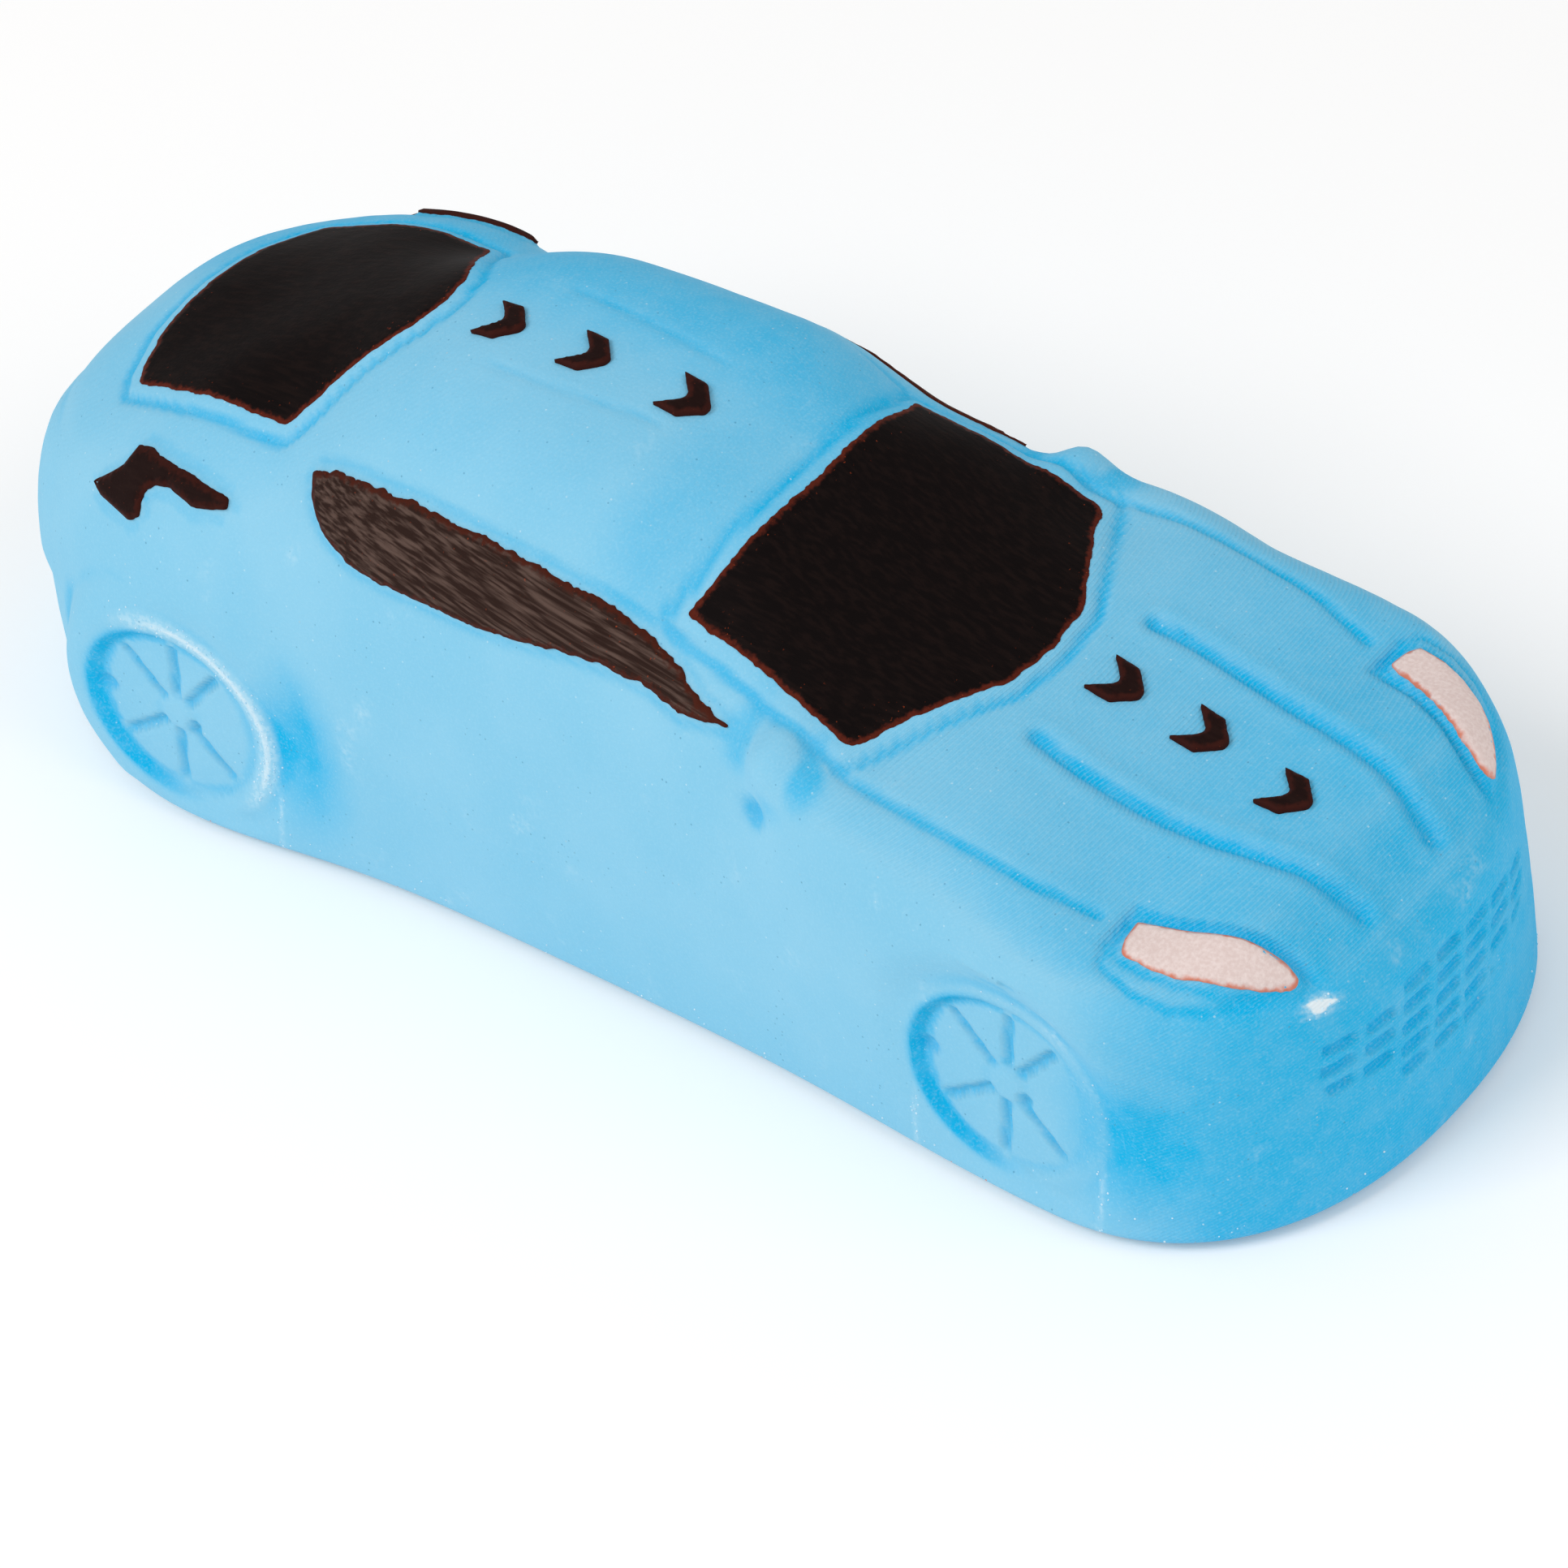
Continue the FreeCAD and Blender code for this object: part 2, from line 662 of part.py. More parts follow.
def gear_face(teeth, shift, start):
    """Face of an involute gear in the plane across X; start is a tooth's angle."""
    pitch_radius = MODULE * teeth / 2
    base = pitch_radius * math.cos(PRESSURE_ANGLE)
    root = MODULE * (teeth / 2 - 1.25 + shift)
    tip = tip_radius(teeth, shift)
    half = (math.pi / 2 + 2 * shift * math.tan(PRESSURE_ANGLE)) / teeth
    half -= size_of("gear_backlash") / (2 * pitch_radius)
    steps = 5
    low = max(base, root)
    flank = [(root, half + involute(PRESSURE_ANGLE))] if base > root else []
    for step in range(steps + 1):
        radius = low + (tip - low) * step / steps
        turn = involute(math.acos(min(base / radius, 1.0)))
        flank.append((radius, half + involute(PRESSURE_ANGLE) - turn))
    points = []
    for tooth in range(teeth):
        middle = start + 2 * math.pi * tooth / teeth
        outline = [(r, middle - a) for r, a in flank] + [(r, middle + a) for r, a in reversed(flank)]
        points += [Vector(0, r * math.cos(a), r * math.sin(a)) for r, a in outline]
    return Part.Face(Part.makePolygon(points + points[:1]))


def gear_solid(teeth, shift, start, low, high, place):
    """Solid spur gear between two places across the car."""
    face = gear_face(teeth, shift, start)
    face.translate(Vector(low, *place))
    return face.extrude(Vector(high - low, 0, 0))


def angle_between(one, other):
    """Direction from one axis to another, in the plane across X."""
    return math.atan2(other[1] - one[1], other[0] - one[0])


def make_gears():
    """Axle pinion, counter gear and barrel gear, in mesh at rest."""
    shift = size_of("profile_shift")
    drive = angle_between(AXLE_AT, COUNTER_AT)
    wind = angle_between(COUNTER_AT, BARREL_AT)
    pinion = gear_solid(PINION_TEETH, shift, drive, DRIVE_LOW - FACE_OVERLAP,
                        DRIVE_HIGH + FACE_OVERLAP, AXLE_AT)
    add_shape("axle_pinion", pinion.cut(rod(size_of("axle_radius"), -REACH, REACH, *AXLE_AT)))
    wheel_start = drive + math.pi + math.pi / COUNTER_TEETH
    wheel = gear_solid(COUNTER_TEETH, -shift, wheel_start, DRIVE_LOW, DRIVE_HIGH, COUNTER_AT)
    small = gear_solid(PINION_TEETH, shift, wind, BARREL_GEAR_LOW - FACE_OVERLAP,
                       BARREL_GEAR_HIGH + FACE_OVERLAP, COUNTER_AT)
    hub = rod(size_of("counter_hub_radius"), BARREL_GEAR_LOW - FACE_OVERLAP, DRIVE_LOW, *COUNTER_AT)
    counter = wheel.fuse(hub).fuse(small).cut(rod(size_of("arbor_radius"), -REACH, REACH, *COUNTER_AT))
    add_shape("counter_gear", largest_solid(counter))
    barrel_start = wind + math.pi + math.pi / BARREL_TEETH
    bore = rod(AXLE_BORE, -REACH, REACH, *BARREL_AT)
    barrel = gear_solid(BARREL_TEETH, -shift, barrel_start, BARREL_GEAR_LOW, BARREL_GEAR_HIGH, BARREL_AT)
    add_shape("barrel_gear", barrel.cut(bore))
    drum_end = BARREL_GEAR_HIGH + size_of("barrel_width")
    drum = rod(size_of("barrel_radius"), BARREL_GEAR_HIGH, drum_end, *BARREL_AT)
    inner = size_of("barrel_radius") - size_of("barrel_wall")
    add_shape("barrel_drum", drum.cut(rod(inner, -REACH, REACH, *BARREL_AT)))
    cover = rod(size_of("barrel_radius"), drum_end, drum_end + size_of("cover_thick"), *BARREL_AT)
    add_shape("barrel_cover", cover.cut(bore))
    add_shape("mainspring", make_mainspring(inner, BARREL_GEAR_HIGH, drum_end))


def make_mainspring(outer, low, high):
    """Flat spiral ribbon whose outer end bears on the drum's wall."""
    thick = size_of("spring_thick")
    side_gap = 0.3
    steps = 24 * SPRING_TURNS
    inside, outside = [], []
    for step in range(steps + 1):
        turn = 2 * math.pi * SPRING_TURNS * step / steps
        radius = outer - thick - size_of("spring_pitch") * (SPRING_TURNS - turn / (2 * math.pi))
        for points, r in ((inside, radius), (outside, radius + thick)):
            points.append(Vector(0, r * math.cos(turn), r * math.sin(turn)))
    edges = []
    for points in (inside, outside):
        curve = Part.BSplineCurve()
        curve.interpolate(points)
        edges.append(curve.toShape())
    ends = [Part.makeLine(inside[0], outside[0]), Part.makeLine(inside[-1], outside[-1])]
    ribbon = Part.Face(Part.Wire(Part.__sortEdges__(edges + ends)))
    ribbon.translate(Vector(low + side_gap, *BARREL_AT))
    return ribbon.extrude(Vector(high - low - 2 * side_gap, 0, 0))


# ---------------------------------------------------------------- motor case

def case_outline(offset):
    """Outline of the motor case in the plane across X, moved inward by offset."""
    clear = size_of("case_clear") + size_of("case_wall")
    front = BARREL_AT[0] - tip_radius(BARREL_TEETH, 0) - clear
    top = BARREL_AT[1] + tip_radius(BARREL_TEETH, 0) + clear
    back = REAR_AXLE_Y + tip_radius(PINION_TEETH, 0) + clear + 2 * size_of("case_lug_radius")
    shoulder = AXLE_Z + tip_radius(PINION_TEETH, 0) + clear + size_of("case_lug_radius")
    corners = [
        (front, PLATE_TOP), (back, PLATE_TOP), (back, shoulder),
        (COUNTER_AT[0] + tip_radius(COUNTER_TEETH, 0) + clear, top - 3.5),
        (COUNTER_AT[0] - clear, top), (front, top),
    ]
    points = [Vector(0, y, z) for y, z in corners]
    wire = Part.makePolygon(points + points[:1])
    if offset:
        wire = wire.makeOffset2D(-offset)
    return wire


def lug_places():
    """Corners of the case that hold its screws."""
    inset = size_of("case_wall") + size_of("case_lug_radius") / 2
    box = case_outline(0).BoundBox
    shoulder = AXLE_Z + tip_radius(PINION_TEETH, 0) + size_of("case_clear") + size_of("case_wall")
    return [(box.YMin + inset, box.ZMin + inset), (box.YMax - inset, shoulder)]


def make_case_half(side):
    """One half of the motor case with its bores, screw lugs and foot."""
    ends = (0.0, side * CASE_HALF)
    low, high = min(ends), max(ends)
    outer = Part.Face(case_outline(0))
    outer.translate(Vector(low, 0, 0))
    inner = Part.Face(case_outline(size_of("case_wall")))
    inner.translate(Vector(min(0.0, side * CASE_INNER), 0, 0))
    half = outer.extrude(Vector(high - low, 0, 0)).cut(inner.extrude(Vector(CASE_INNER, 0, 0)))
    for y, z in lug_places():
        half = half.fuse(rod(size_of("case_lug_radius"), low, high, y, z))
        half = half.cut(rod(size_of("case_screw_radius"), low, high, y, z))
    for x, y in FOOT_SCREWS:
        if x * side > 0:
            tab = Part.makeBox(FOOT_REACH, 6.0, FOOT_THICK,
                               Vector(min(side * CASE_HALF, side * (CASE_HALF + FOOT_REACH)),
                                      y - 3.0, PLATE_TOP))
            half = half.fuse(tab).cut(post(size_of("case_screw_radius"), x, y, 0, REACH))
    half = half.cut(rod(AXLE_BORE, -REACH, REACH, *AXLE_AT))
    half = half.cut(rod(size_of("arbor_radius") + size_of("running_clear"), -REACH, REACH, *COUNTER_AT))
    half = half.cut(rod(size_of("axle_radius"), -REACH, REACH, *BARREL_AT))
    return largest_solid(half)


FOOT_REACH = 4.0
FOOT_THICK = 1.2
FOOT_SCREWS = [
    (side * (CASE_HALF + FOOT_REACH / 2), y)
    for side in (-1, 1)
    for y in (BARREL_AT[0] - MODULE * BARREL_TEETH / 4, COUNTER_AT[0])
]


def make_case_screws():
    """Screws that close the case, with their heads on its right side."""
    screws = []
    radius = size_of("case_screw_radius")
    for y, z in lug_places():
        shank = rod(radius, -CASE_HALF, CASE_HALF - size_of("case_wall"), y, z)
        screws.append(shank.fuse(rod(1.6 * radius, -CASE_HALF - radius, -CASE_HALF, y, z)))
    return Part.makeCompound(screws)


def make_foot_screws():
    """Short screws that hold the case's feet to the chassis plate."""
    screws = []
    radius = size_of("case_screw_radius")
    top = PLATE_TOP + FOOT_THICK
    for x, y in FOOT_SCREWS:
        shank = post(radius, x, y, top - size_of("foot_screw_length"), top)
        screws.append(shank.fuse(post(1.8 * radius, x, y, top, top + radius)))
    return Part.makeCompound(screws)


# ---------------------------------------------------------------- assembly

def build():
    """Add every sub-part to the document."""
    inlays = make_inlays()
    add_shape("body_shell", make_body_shell(inlays))
    for label, shape in inlays.items():
        add_shape(label, shape)
    add_shape("chassis_plate", make_chassis_plate())
    add_shape("chassis_screws", make_chassis_screws())
    make_wheels("front", FRONT_AXLE_Y)
    make_wheels("rear", REAR_AXLE_Y)
    add_rod("front_axle", "axle_radius", -WHEEL_OUTER, WHEEL_OUTER, FRONT_AXLE_Y, AXLE_Z)
    add_rod("rear_axle", "axle_radius", -WHEEL_OUTER, WHEEL_OUTER, REAR_AXLE_Y, AXLE_Z)
    add_rod("counter_arbor", "arbor_radius", -CASE_HALF, CASE_HALF, *COUNTER_AT)
    add_rod("barrel_arbor", "axle_radius", -CASE_HALF, CASE_HALF, *BARREL_AT)
    make_gears()
    add_shape("motor_case_left", make_case_half(1))
    add_shape("motor_case_right", make_case_half(-1))
    add_shape("motor_case_screws", make_case_screws())
    add_shape("motor_foot_screws", make_foot_screws())
    doc.recompute()


def sub_parts():
    """Top-level objects of the document that are pieces of the car."""
    kinds = ("Part::Feature", "Part::Cylinder", "PartDesign::Body")
    return [item for item in doc.Objects if item.TypeId in kinds]


def check_and_write():
    """Stop on any failed object or bad shape, then write each sub-part."""
    for item in doc.Objects:
        if {"Invalid", "Error"} & set(item.State):
            raise RuntimeError(f"{item.Label} failed: {item.State}")
    os.makedirs("parts", exist_ok=True)
    for item in sub_parts():
        shape = item.Shape
        if shape.isNull() or not shape.isValid() or not shape.Solids:
            raise RuntimeError(f"{item.Label} has no valid solid")
        shape.exportStep(f"parts/{item.Label}.step")
        print(f"{item.Label}: {len(shape.Solids)} solid(s), {shape.Volume:.1f} mm3")


build()
check_and_write()
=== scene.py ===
"""Looks of a moulded toy car: a cast body with painted windows, lamps and arrowheads."""

import itertools
import json
import logging
import math
from dataclasses import dataclass, field
from enum import Enum
from typing import Iterator, Sequence

import bmesh
import bpy
import numpy as np
from mathutils import Euler, Matrix, Vector, geometry


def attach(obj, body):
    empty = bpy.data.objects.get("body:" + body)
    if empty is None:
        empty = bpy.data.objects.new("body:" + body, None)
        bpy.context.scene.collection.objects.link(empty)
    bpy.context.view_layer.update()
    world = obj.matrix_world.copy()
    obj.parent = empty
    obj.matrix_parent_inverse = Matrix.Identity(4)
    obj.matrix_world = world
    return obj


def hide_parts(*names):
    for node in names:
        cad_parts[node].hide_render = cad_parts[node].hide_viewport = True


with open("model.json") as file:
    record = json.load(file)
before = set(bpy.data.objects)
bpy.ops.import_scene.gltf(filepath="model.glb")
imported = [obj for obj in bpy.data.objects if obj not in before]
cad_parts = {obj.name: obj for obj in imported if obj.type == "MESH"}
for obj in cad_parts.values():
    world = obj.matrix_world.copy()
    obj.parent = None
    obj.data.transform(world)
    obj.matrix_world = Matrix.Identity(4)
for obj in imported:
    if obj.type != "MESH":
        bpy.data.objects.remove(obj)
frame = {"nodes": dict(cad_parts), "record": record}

LOG = logging.getLogger("toy_car")
MM = 0.001
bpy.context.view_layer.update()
ROOT = "car_body"
INSIDE_ONLY = 1  # triangulation that stops at the border
Array = np.ndarray
Pair = tuple[float, float]
Triple = tuple[float, float, float]
Points = Sequence[Pair]
Socket = bpy.types.NodeSocket
NodePiece = tuple[bpy.types.Object, str, str]
Looks = dict[str, object]


class Side(Enum):
    """Side of the car, as the sign of X."""

    LEFT = 1
    RIGHT = -1


# ---- small mathematics


def bump(distance: Array, width: float) -> Array:
    """Bell curve of a distance: 1 at 0, falling off over width."""
    return np.exp(-((distance / width) ** 2))


def ramp(low: float, high: float, value: Array) -> Array:
    """Smooth step from 0 at low to 1 at high."""
    t = np.clip((value - low) / (high - low), 0.0, 1.0)
    return t * t * (3 - 2 * t)


def fade(low: float, high: float, value: Array) -> Array:
    """Smooth step from 1 at low to 0 at high."""
    return 1 - ramp(low, high, value)


def line_distance(u: Array, v: Array, line: Points) -> Array:
    """Shortest distance of points from an open line, given by its corners."""
    best = np.full(np.shape(u), np.inf)
    for (u0, v0), (u1, v1) in zip(line, line[1:]):
        du, dv = u1 - u0, v1 - v0
        t = np.clip(((u - u0) * du + (v - v0) * dv) / (du * du + dv * dv), 0.0, 1.0)
        best = np.minimum(best, np.hypot(u - u0 - t * du, v - v0 - t * dv))
    return best


def inside_depth(u: Array, v: Array, outline: Points) -> Array:
    """Distance of points from a closed outline, positive inside it."""
    closed = list(outline) + [outline[0]]
    inside = np.zeros(np.shape(u), bool)
    for (u0, v0), (u1, v1) in zip(closed, closed[1:]):
        if v0 == v1:
            continue
        crosses = (v0 > v) != (v1 > v)
        inside ^= crosses & (u < (u1 - u0) * (v - v0) / (v1 - v0) + u0)
    distance = line_distance(u, v, closed)
    return np.where(inside, distance, -distance)


def mirrored(half: Points) -> list[Pair]:
    """Closed outline from its right half, given from the middle line round to it again."""
    return list(half) + [(-u, v) for u, v in reversed(half) if u > 0]


def walked(line: Array, lengths: Array, shares: Array) -> Array:
    """Points of a line at shares of its walked length.

    Args:
        line: Points of the line, one a row.
        lengths: How long each stretch between them counts.
        shares: Shares of the whole length, from 0 to 1.

    Returns:
        One point for each share.
    """
    reached = np.concatenate([[0.0], np.cumsum(lengths)])
    return np.stack([np.interp(shares * reached[-1], reached, axis) for axis in line.T], -1)


@dataclass(frozen=True)
class Bell:
    """A bell-shaped rise, or a hollow where its height is negative, in mm."""

    at: Pair
    height: float
    width: float
    stretch: Pair = (1.0, 1.0)

    def __call__(self, u: Array, v: Array) -> Array:
        """The rise at each point."""
        aside, beyond = ((c - c0) / s for c, c0, s in zip((u, v), self.at, self.stretch))
        return self.height * bump(np.hypot(aside, beyond), self.width)


@dataclass(frozen=True)
class Groove:
    """A groove along a line, with a low ridge beside it, in mm."""

    depth: float
    width: float
    line: Points
    ridge: float = 0.0
    ridge_reach: float = 1.5
    ridge_width: float = 0.8

    def __call__(self, u: Array, v: Array) -> Array:
        """How deep the groove is at each point."""
        far = line_distance(u, v, self.line)
        ridge = self.ridge * bump(far - self.ridge_reach, self.ridge_width)
        return self.depth * bump(far, self.width) - ridge


class ValueNoise:
    """Smooth seeded noise in three dimensions, in steps of a given size."""

    cells: int = 32
    shift: float = 7.3

    def __init__(self, seed: int, step: float) -> None:
        """Draw the lattice's values, step mm apart."""
        self.table = np.random.default_rng(seed).uniform(-1, 1, (self.cells,) * 3)
        self.step = step

    def __call__(self, x: Array, y: Array, z: Array) -> Array:
        """Noise between -1 and 1 at each point."""
        places = [np.asarray(c, float) / self.step + self.shift for c in (x, y, z)]
        cells = [np.floor(p).astype(int) for p in places]
        parts = [ramp(0.0, 1.0, p - c) for p, c in zip(places, cells)]
        total = np.zeros(np.shape(places[0]))
        for corner in itertools.product((0, 1), repeat=3):
            weight = math.prod(t if far else 1 - t for t, far in zip(parts, corner))
            index = tuple(np.mod(c + far, self.cells) for c, far in zip(cells, corner))
            total = total + weight * self.table[index]
        return total


# ---- body form


@dataclass
class BodyForm:
    """Plain outer form of the body, in mm, before any relief.

    A cross-section is an arch between a round and a box, and the plan is a waisted
    bar with rounded ends.
    """

    rim: float = 1.0
    nose_centre: float = -49.0
    nose_reach: float = 20.9
    tail_centre: float = 41.0
    tail_reach: float = 28.9
    front_half: float = 25.5
    waist_half: float = 23.34
    rear_half: float = 25.8
    swell_front: float = 22.0
    swell_rear: float = 15.0
    nose_power: float = 2.27
    tail_power: float = 1.93
    crown_line: Points = (
        (-70.1, 13.7), (-69.3, 20.0), (-67.1, 22.4), (-61.0, 27.0), (-50.0, 28.2),
        (-40.0, 30.7), (-31.0, 32.8), (-22.0, 35.8), (-10.0, 41.0), (1.0, 44.5),
        (16.0, 44.8), (25.0, 43.3), (33.0, 40.6), (44.0, 36.6), (54.0, 34.0),
        (60.5, 30.0), (67.5, 17.9), (70.1, 14.4),
    )
    square_line: Points = (
        (-70.1, 6.5), (-62.0, 5.5), (-52.0, 7.5), (-40.0, 6.0), (-30.0, 8.0), (-20.0, 4.0),
        (-8.0, 3.2), (10.0, 3.0), (27.0, 2.7), (38.0, 3.2), (58.0, 3.4), (70.1, 3.4),
    )
    # hollows that flatten the form beside the glass, and the heights over which they grow
    hollows: Sequence[Bell] = (
        Bell((14.5, -11.0), 1.4, 6.0), Bell((17.0, -27.0), 2.4, 7.0), Bell((16.5, -54.5), 1.3, 6.0),
        Bell((13.0, 31.5), 2.2, 7.0), Bell((11.5, 52.5), 1.4, 7.0),
    )
    hollow_heights: Pair = (8.0, 22.0)

    def _curve(self, line: Points, y: Array) -> Array:
        """Smooth curve through points that never overshoots them."""
        at, value = np.array(line).T
        steps = np.diff(at)
        slopes = np.diff(value) / steps
        tangent = np.zeros(len(at))
        for i in range(1, len(at) - 1):
            if slopes[i - 1] * slopes[i] > 0:
                w0, w1 = 2 * steps[i] + steps[i - 1], steps[i] + 2 * steps[i - 1]
                tangent[i] = (w0 + w1) / (w0 / slopes[i - 1] + w1 / slopes[i])
        tangent[0], tangent[-1] = slopes[0], slopes[-1]
        y = np.clip(y, at[0], at[-1])
        index = np.clip(np.searchsorted(at, y, side="right") - 1, 0, len(at) - 2)
        span = steps[index]
        t = (y - at[index]) / span
        return (
            (1 + 2 * t) * (1 - t) ** 2 * value[index]
            + t * (1 - t) ** 2 * span * tangent[index]
            + t * t * (3 - 2 * t) * value[index + 1]
            + t * t * (t - 1) * span * tangent[index + 1]
        )

    def half_width(self, y: Array) -> Array:
        """Half the width of the plan at each place along the car."""
        y = np.asarray(y, float)
        front = self.front_half - self.waist_half
        rear = self.rear_half - self.waist_half
        wide = self.waist_half
        wide = wide + front * bump(np.maximum(y - self.nose_centre, 0.0), self.swell_front)
        wide = wide + rear * bump(np.minimum(y - self.tail_centre, 0.0), self.swell_rear)
        ahead = np.clip((self.nose_centre - y) / self.nose_reach, 0.0, 1.0)
        behind = np.clip((y - self.tail_centre) / self.tail_reach, 0.0, 1.0)
        wide = wide * (1 - ahead**self.nose_power) ** (1 / self.nose_power)
        return wide * (1 - behind**self.tail_power) ** (1 / self.tail_power)

    def height(self, x: Array, y: Array) -> Array:
        """Height of the form above the floor over each point of the plan."""
        x, y = np.abs(np.asarray(x, float)), np.asarray(y, float)
        power = self._curve(self.square_line, y)
        share = np.clip(x / np.maximum(self.half_width(y), 1e-6), 0.0, 1.0)
        tall = self._curve(self.crown_line, y) * (1 - share**power) ** (1 / power)
        lower = sum(hollow(x, y) for hollow in self.hollows)
        return self.rim + tall - lower * ramp(*self.hollow_heights, tall)

    def slope_normal(self, x: Array, y: Array, step: float = 0.02) -> Array:
        """Unit normals of the form over points that aren't on its walls."""
        rise_x = (self.height(x + step, y) - self.height(x - step, y)) / (2 * step)
        rise_y = (self.height(x, y + step) - self.height(x, y - step)) / (2 * step)
        normal = np.stack([-rise_x, -rise_y, np.ones(np.shape(rise_x))], -1)
        return normal / np.linalg.norm(normal, axis=-1, keepdims=True)

    def across_at(self, y: Array, z: Array, side: Side, halvings: int = 40) -> Array:
        """X of the flank at each place along the car and height."""
        low = np.zeros(np.shape(y))
        high = self.half_width(y)
        for _ in range(halvings):
            middle = (low + high) / 2
            above = self.height(middle, y) > z
            low, high = np.where(above, middle, low), np.where(above, high, middle)
        return side.value * (low + high) / 2


# ---- relief


@dataclass
class WheelRelief:
    """One moulded wheel on a flank: sunk face, hub, spokes and lip, in mm and degrees."""

    along: float
    across: float
    turn: float
    height: float = 11.55
    draft: float = 3.44
    radius: float = 8.55
    blend: Pair = (1.0, 5.5)
    depth: float = 0.5
    depth_tilt: float = 0.35
    lip: float = 0.12
    lip_width: float = 0.9
    hub_radius: float = 1.45
    hub_rise: float = 0.2
    spoke_depth: float = 0.5
    spoke_half: float = 0.42
    spoke_start: float = 1.6
    spoke_angles: Sequence[float] = (47, 84, 131, 213, 264, 314)
    notch_angle: float = 176
    notch_reach: float = 7.4
    notch_depth: float = 0.45
    dimple: Pair = (1.7, -0.9)
    dimple_depth: float = 0.4

    def plane(self, y: Array, z: Array) -> Array:
        """Distance from the middle plane of the wheel's rim plane."""
        lean = math.tan(math.radians(self.draft)) * (z - self.height)
        return self.across + math.tan(math.radians(self.turn)) * (y - self.along) - lean

    def offset(self, x: Array, y: Array, z: Array) -> Array:
        """How far the flank moves outward, along X, at each point of the form."""
        ahead, up = self.along - y, z - self.height
        r = np.hypot(ahead, up)
        forward = np.clip(ahead / self.radius, -1.0, 1.0)
        flat = fade(self.radius + self.blend[0], self.radius + self.blend[1], r)
        sunk = fade(self.radius - 0.45, self.radius, r)
        face = (self.plane(y, z) - np.abs(x)) * flat
        face = face - (self.depth - self.depth_tilt * forward) * sunk
        lip = self.lip * bump(r - self.radius - self.lip_width, self.lip_width)
        face = face + lip * (0.55 + 0.45 * forward)
        face = face + self.hub_rise * fade(self.hub_radius - 0.25, self.hub_radius + 0.35, r)
        for angle in map(math.radians, self.spoke_angles):
            c, s = math.cos(angle), math.sin(angle)
            side, reach = up * c - ahead * s, ahead * c + up * s
            inner = ramp(self.spoke_start, self.spoke_start + 0.5, reach)
            outer = fade(self.radius - 1.5, self.radius - 1.0, reach)
            groove = fade(self.spoke_half - 0.2, self.spoke_half + 0.12, np.abs(side))
            face = face - self.spoke_depth * inner * outer * groove
        turned = math.radians(self.notch_angle)
        notch = np.hypot(ahead - self.notch_reach * math.cos(turned),
                         up - self.notch_reach * math.sin(turned))
        dimple = np.hypot(ahead - self.dimple[0], up - self.dimple[1])
        pits = self.notch_depth * fade(0.5, 1.0, notch)
        return face - pits - self.dimple_depth * fade(0.35, 0.75, dimple)


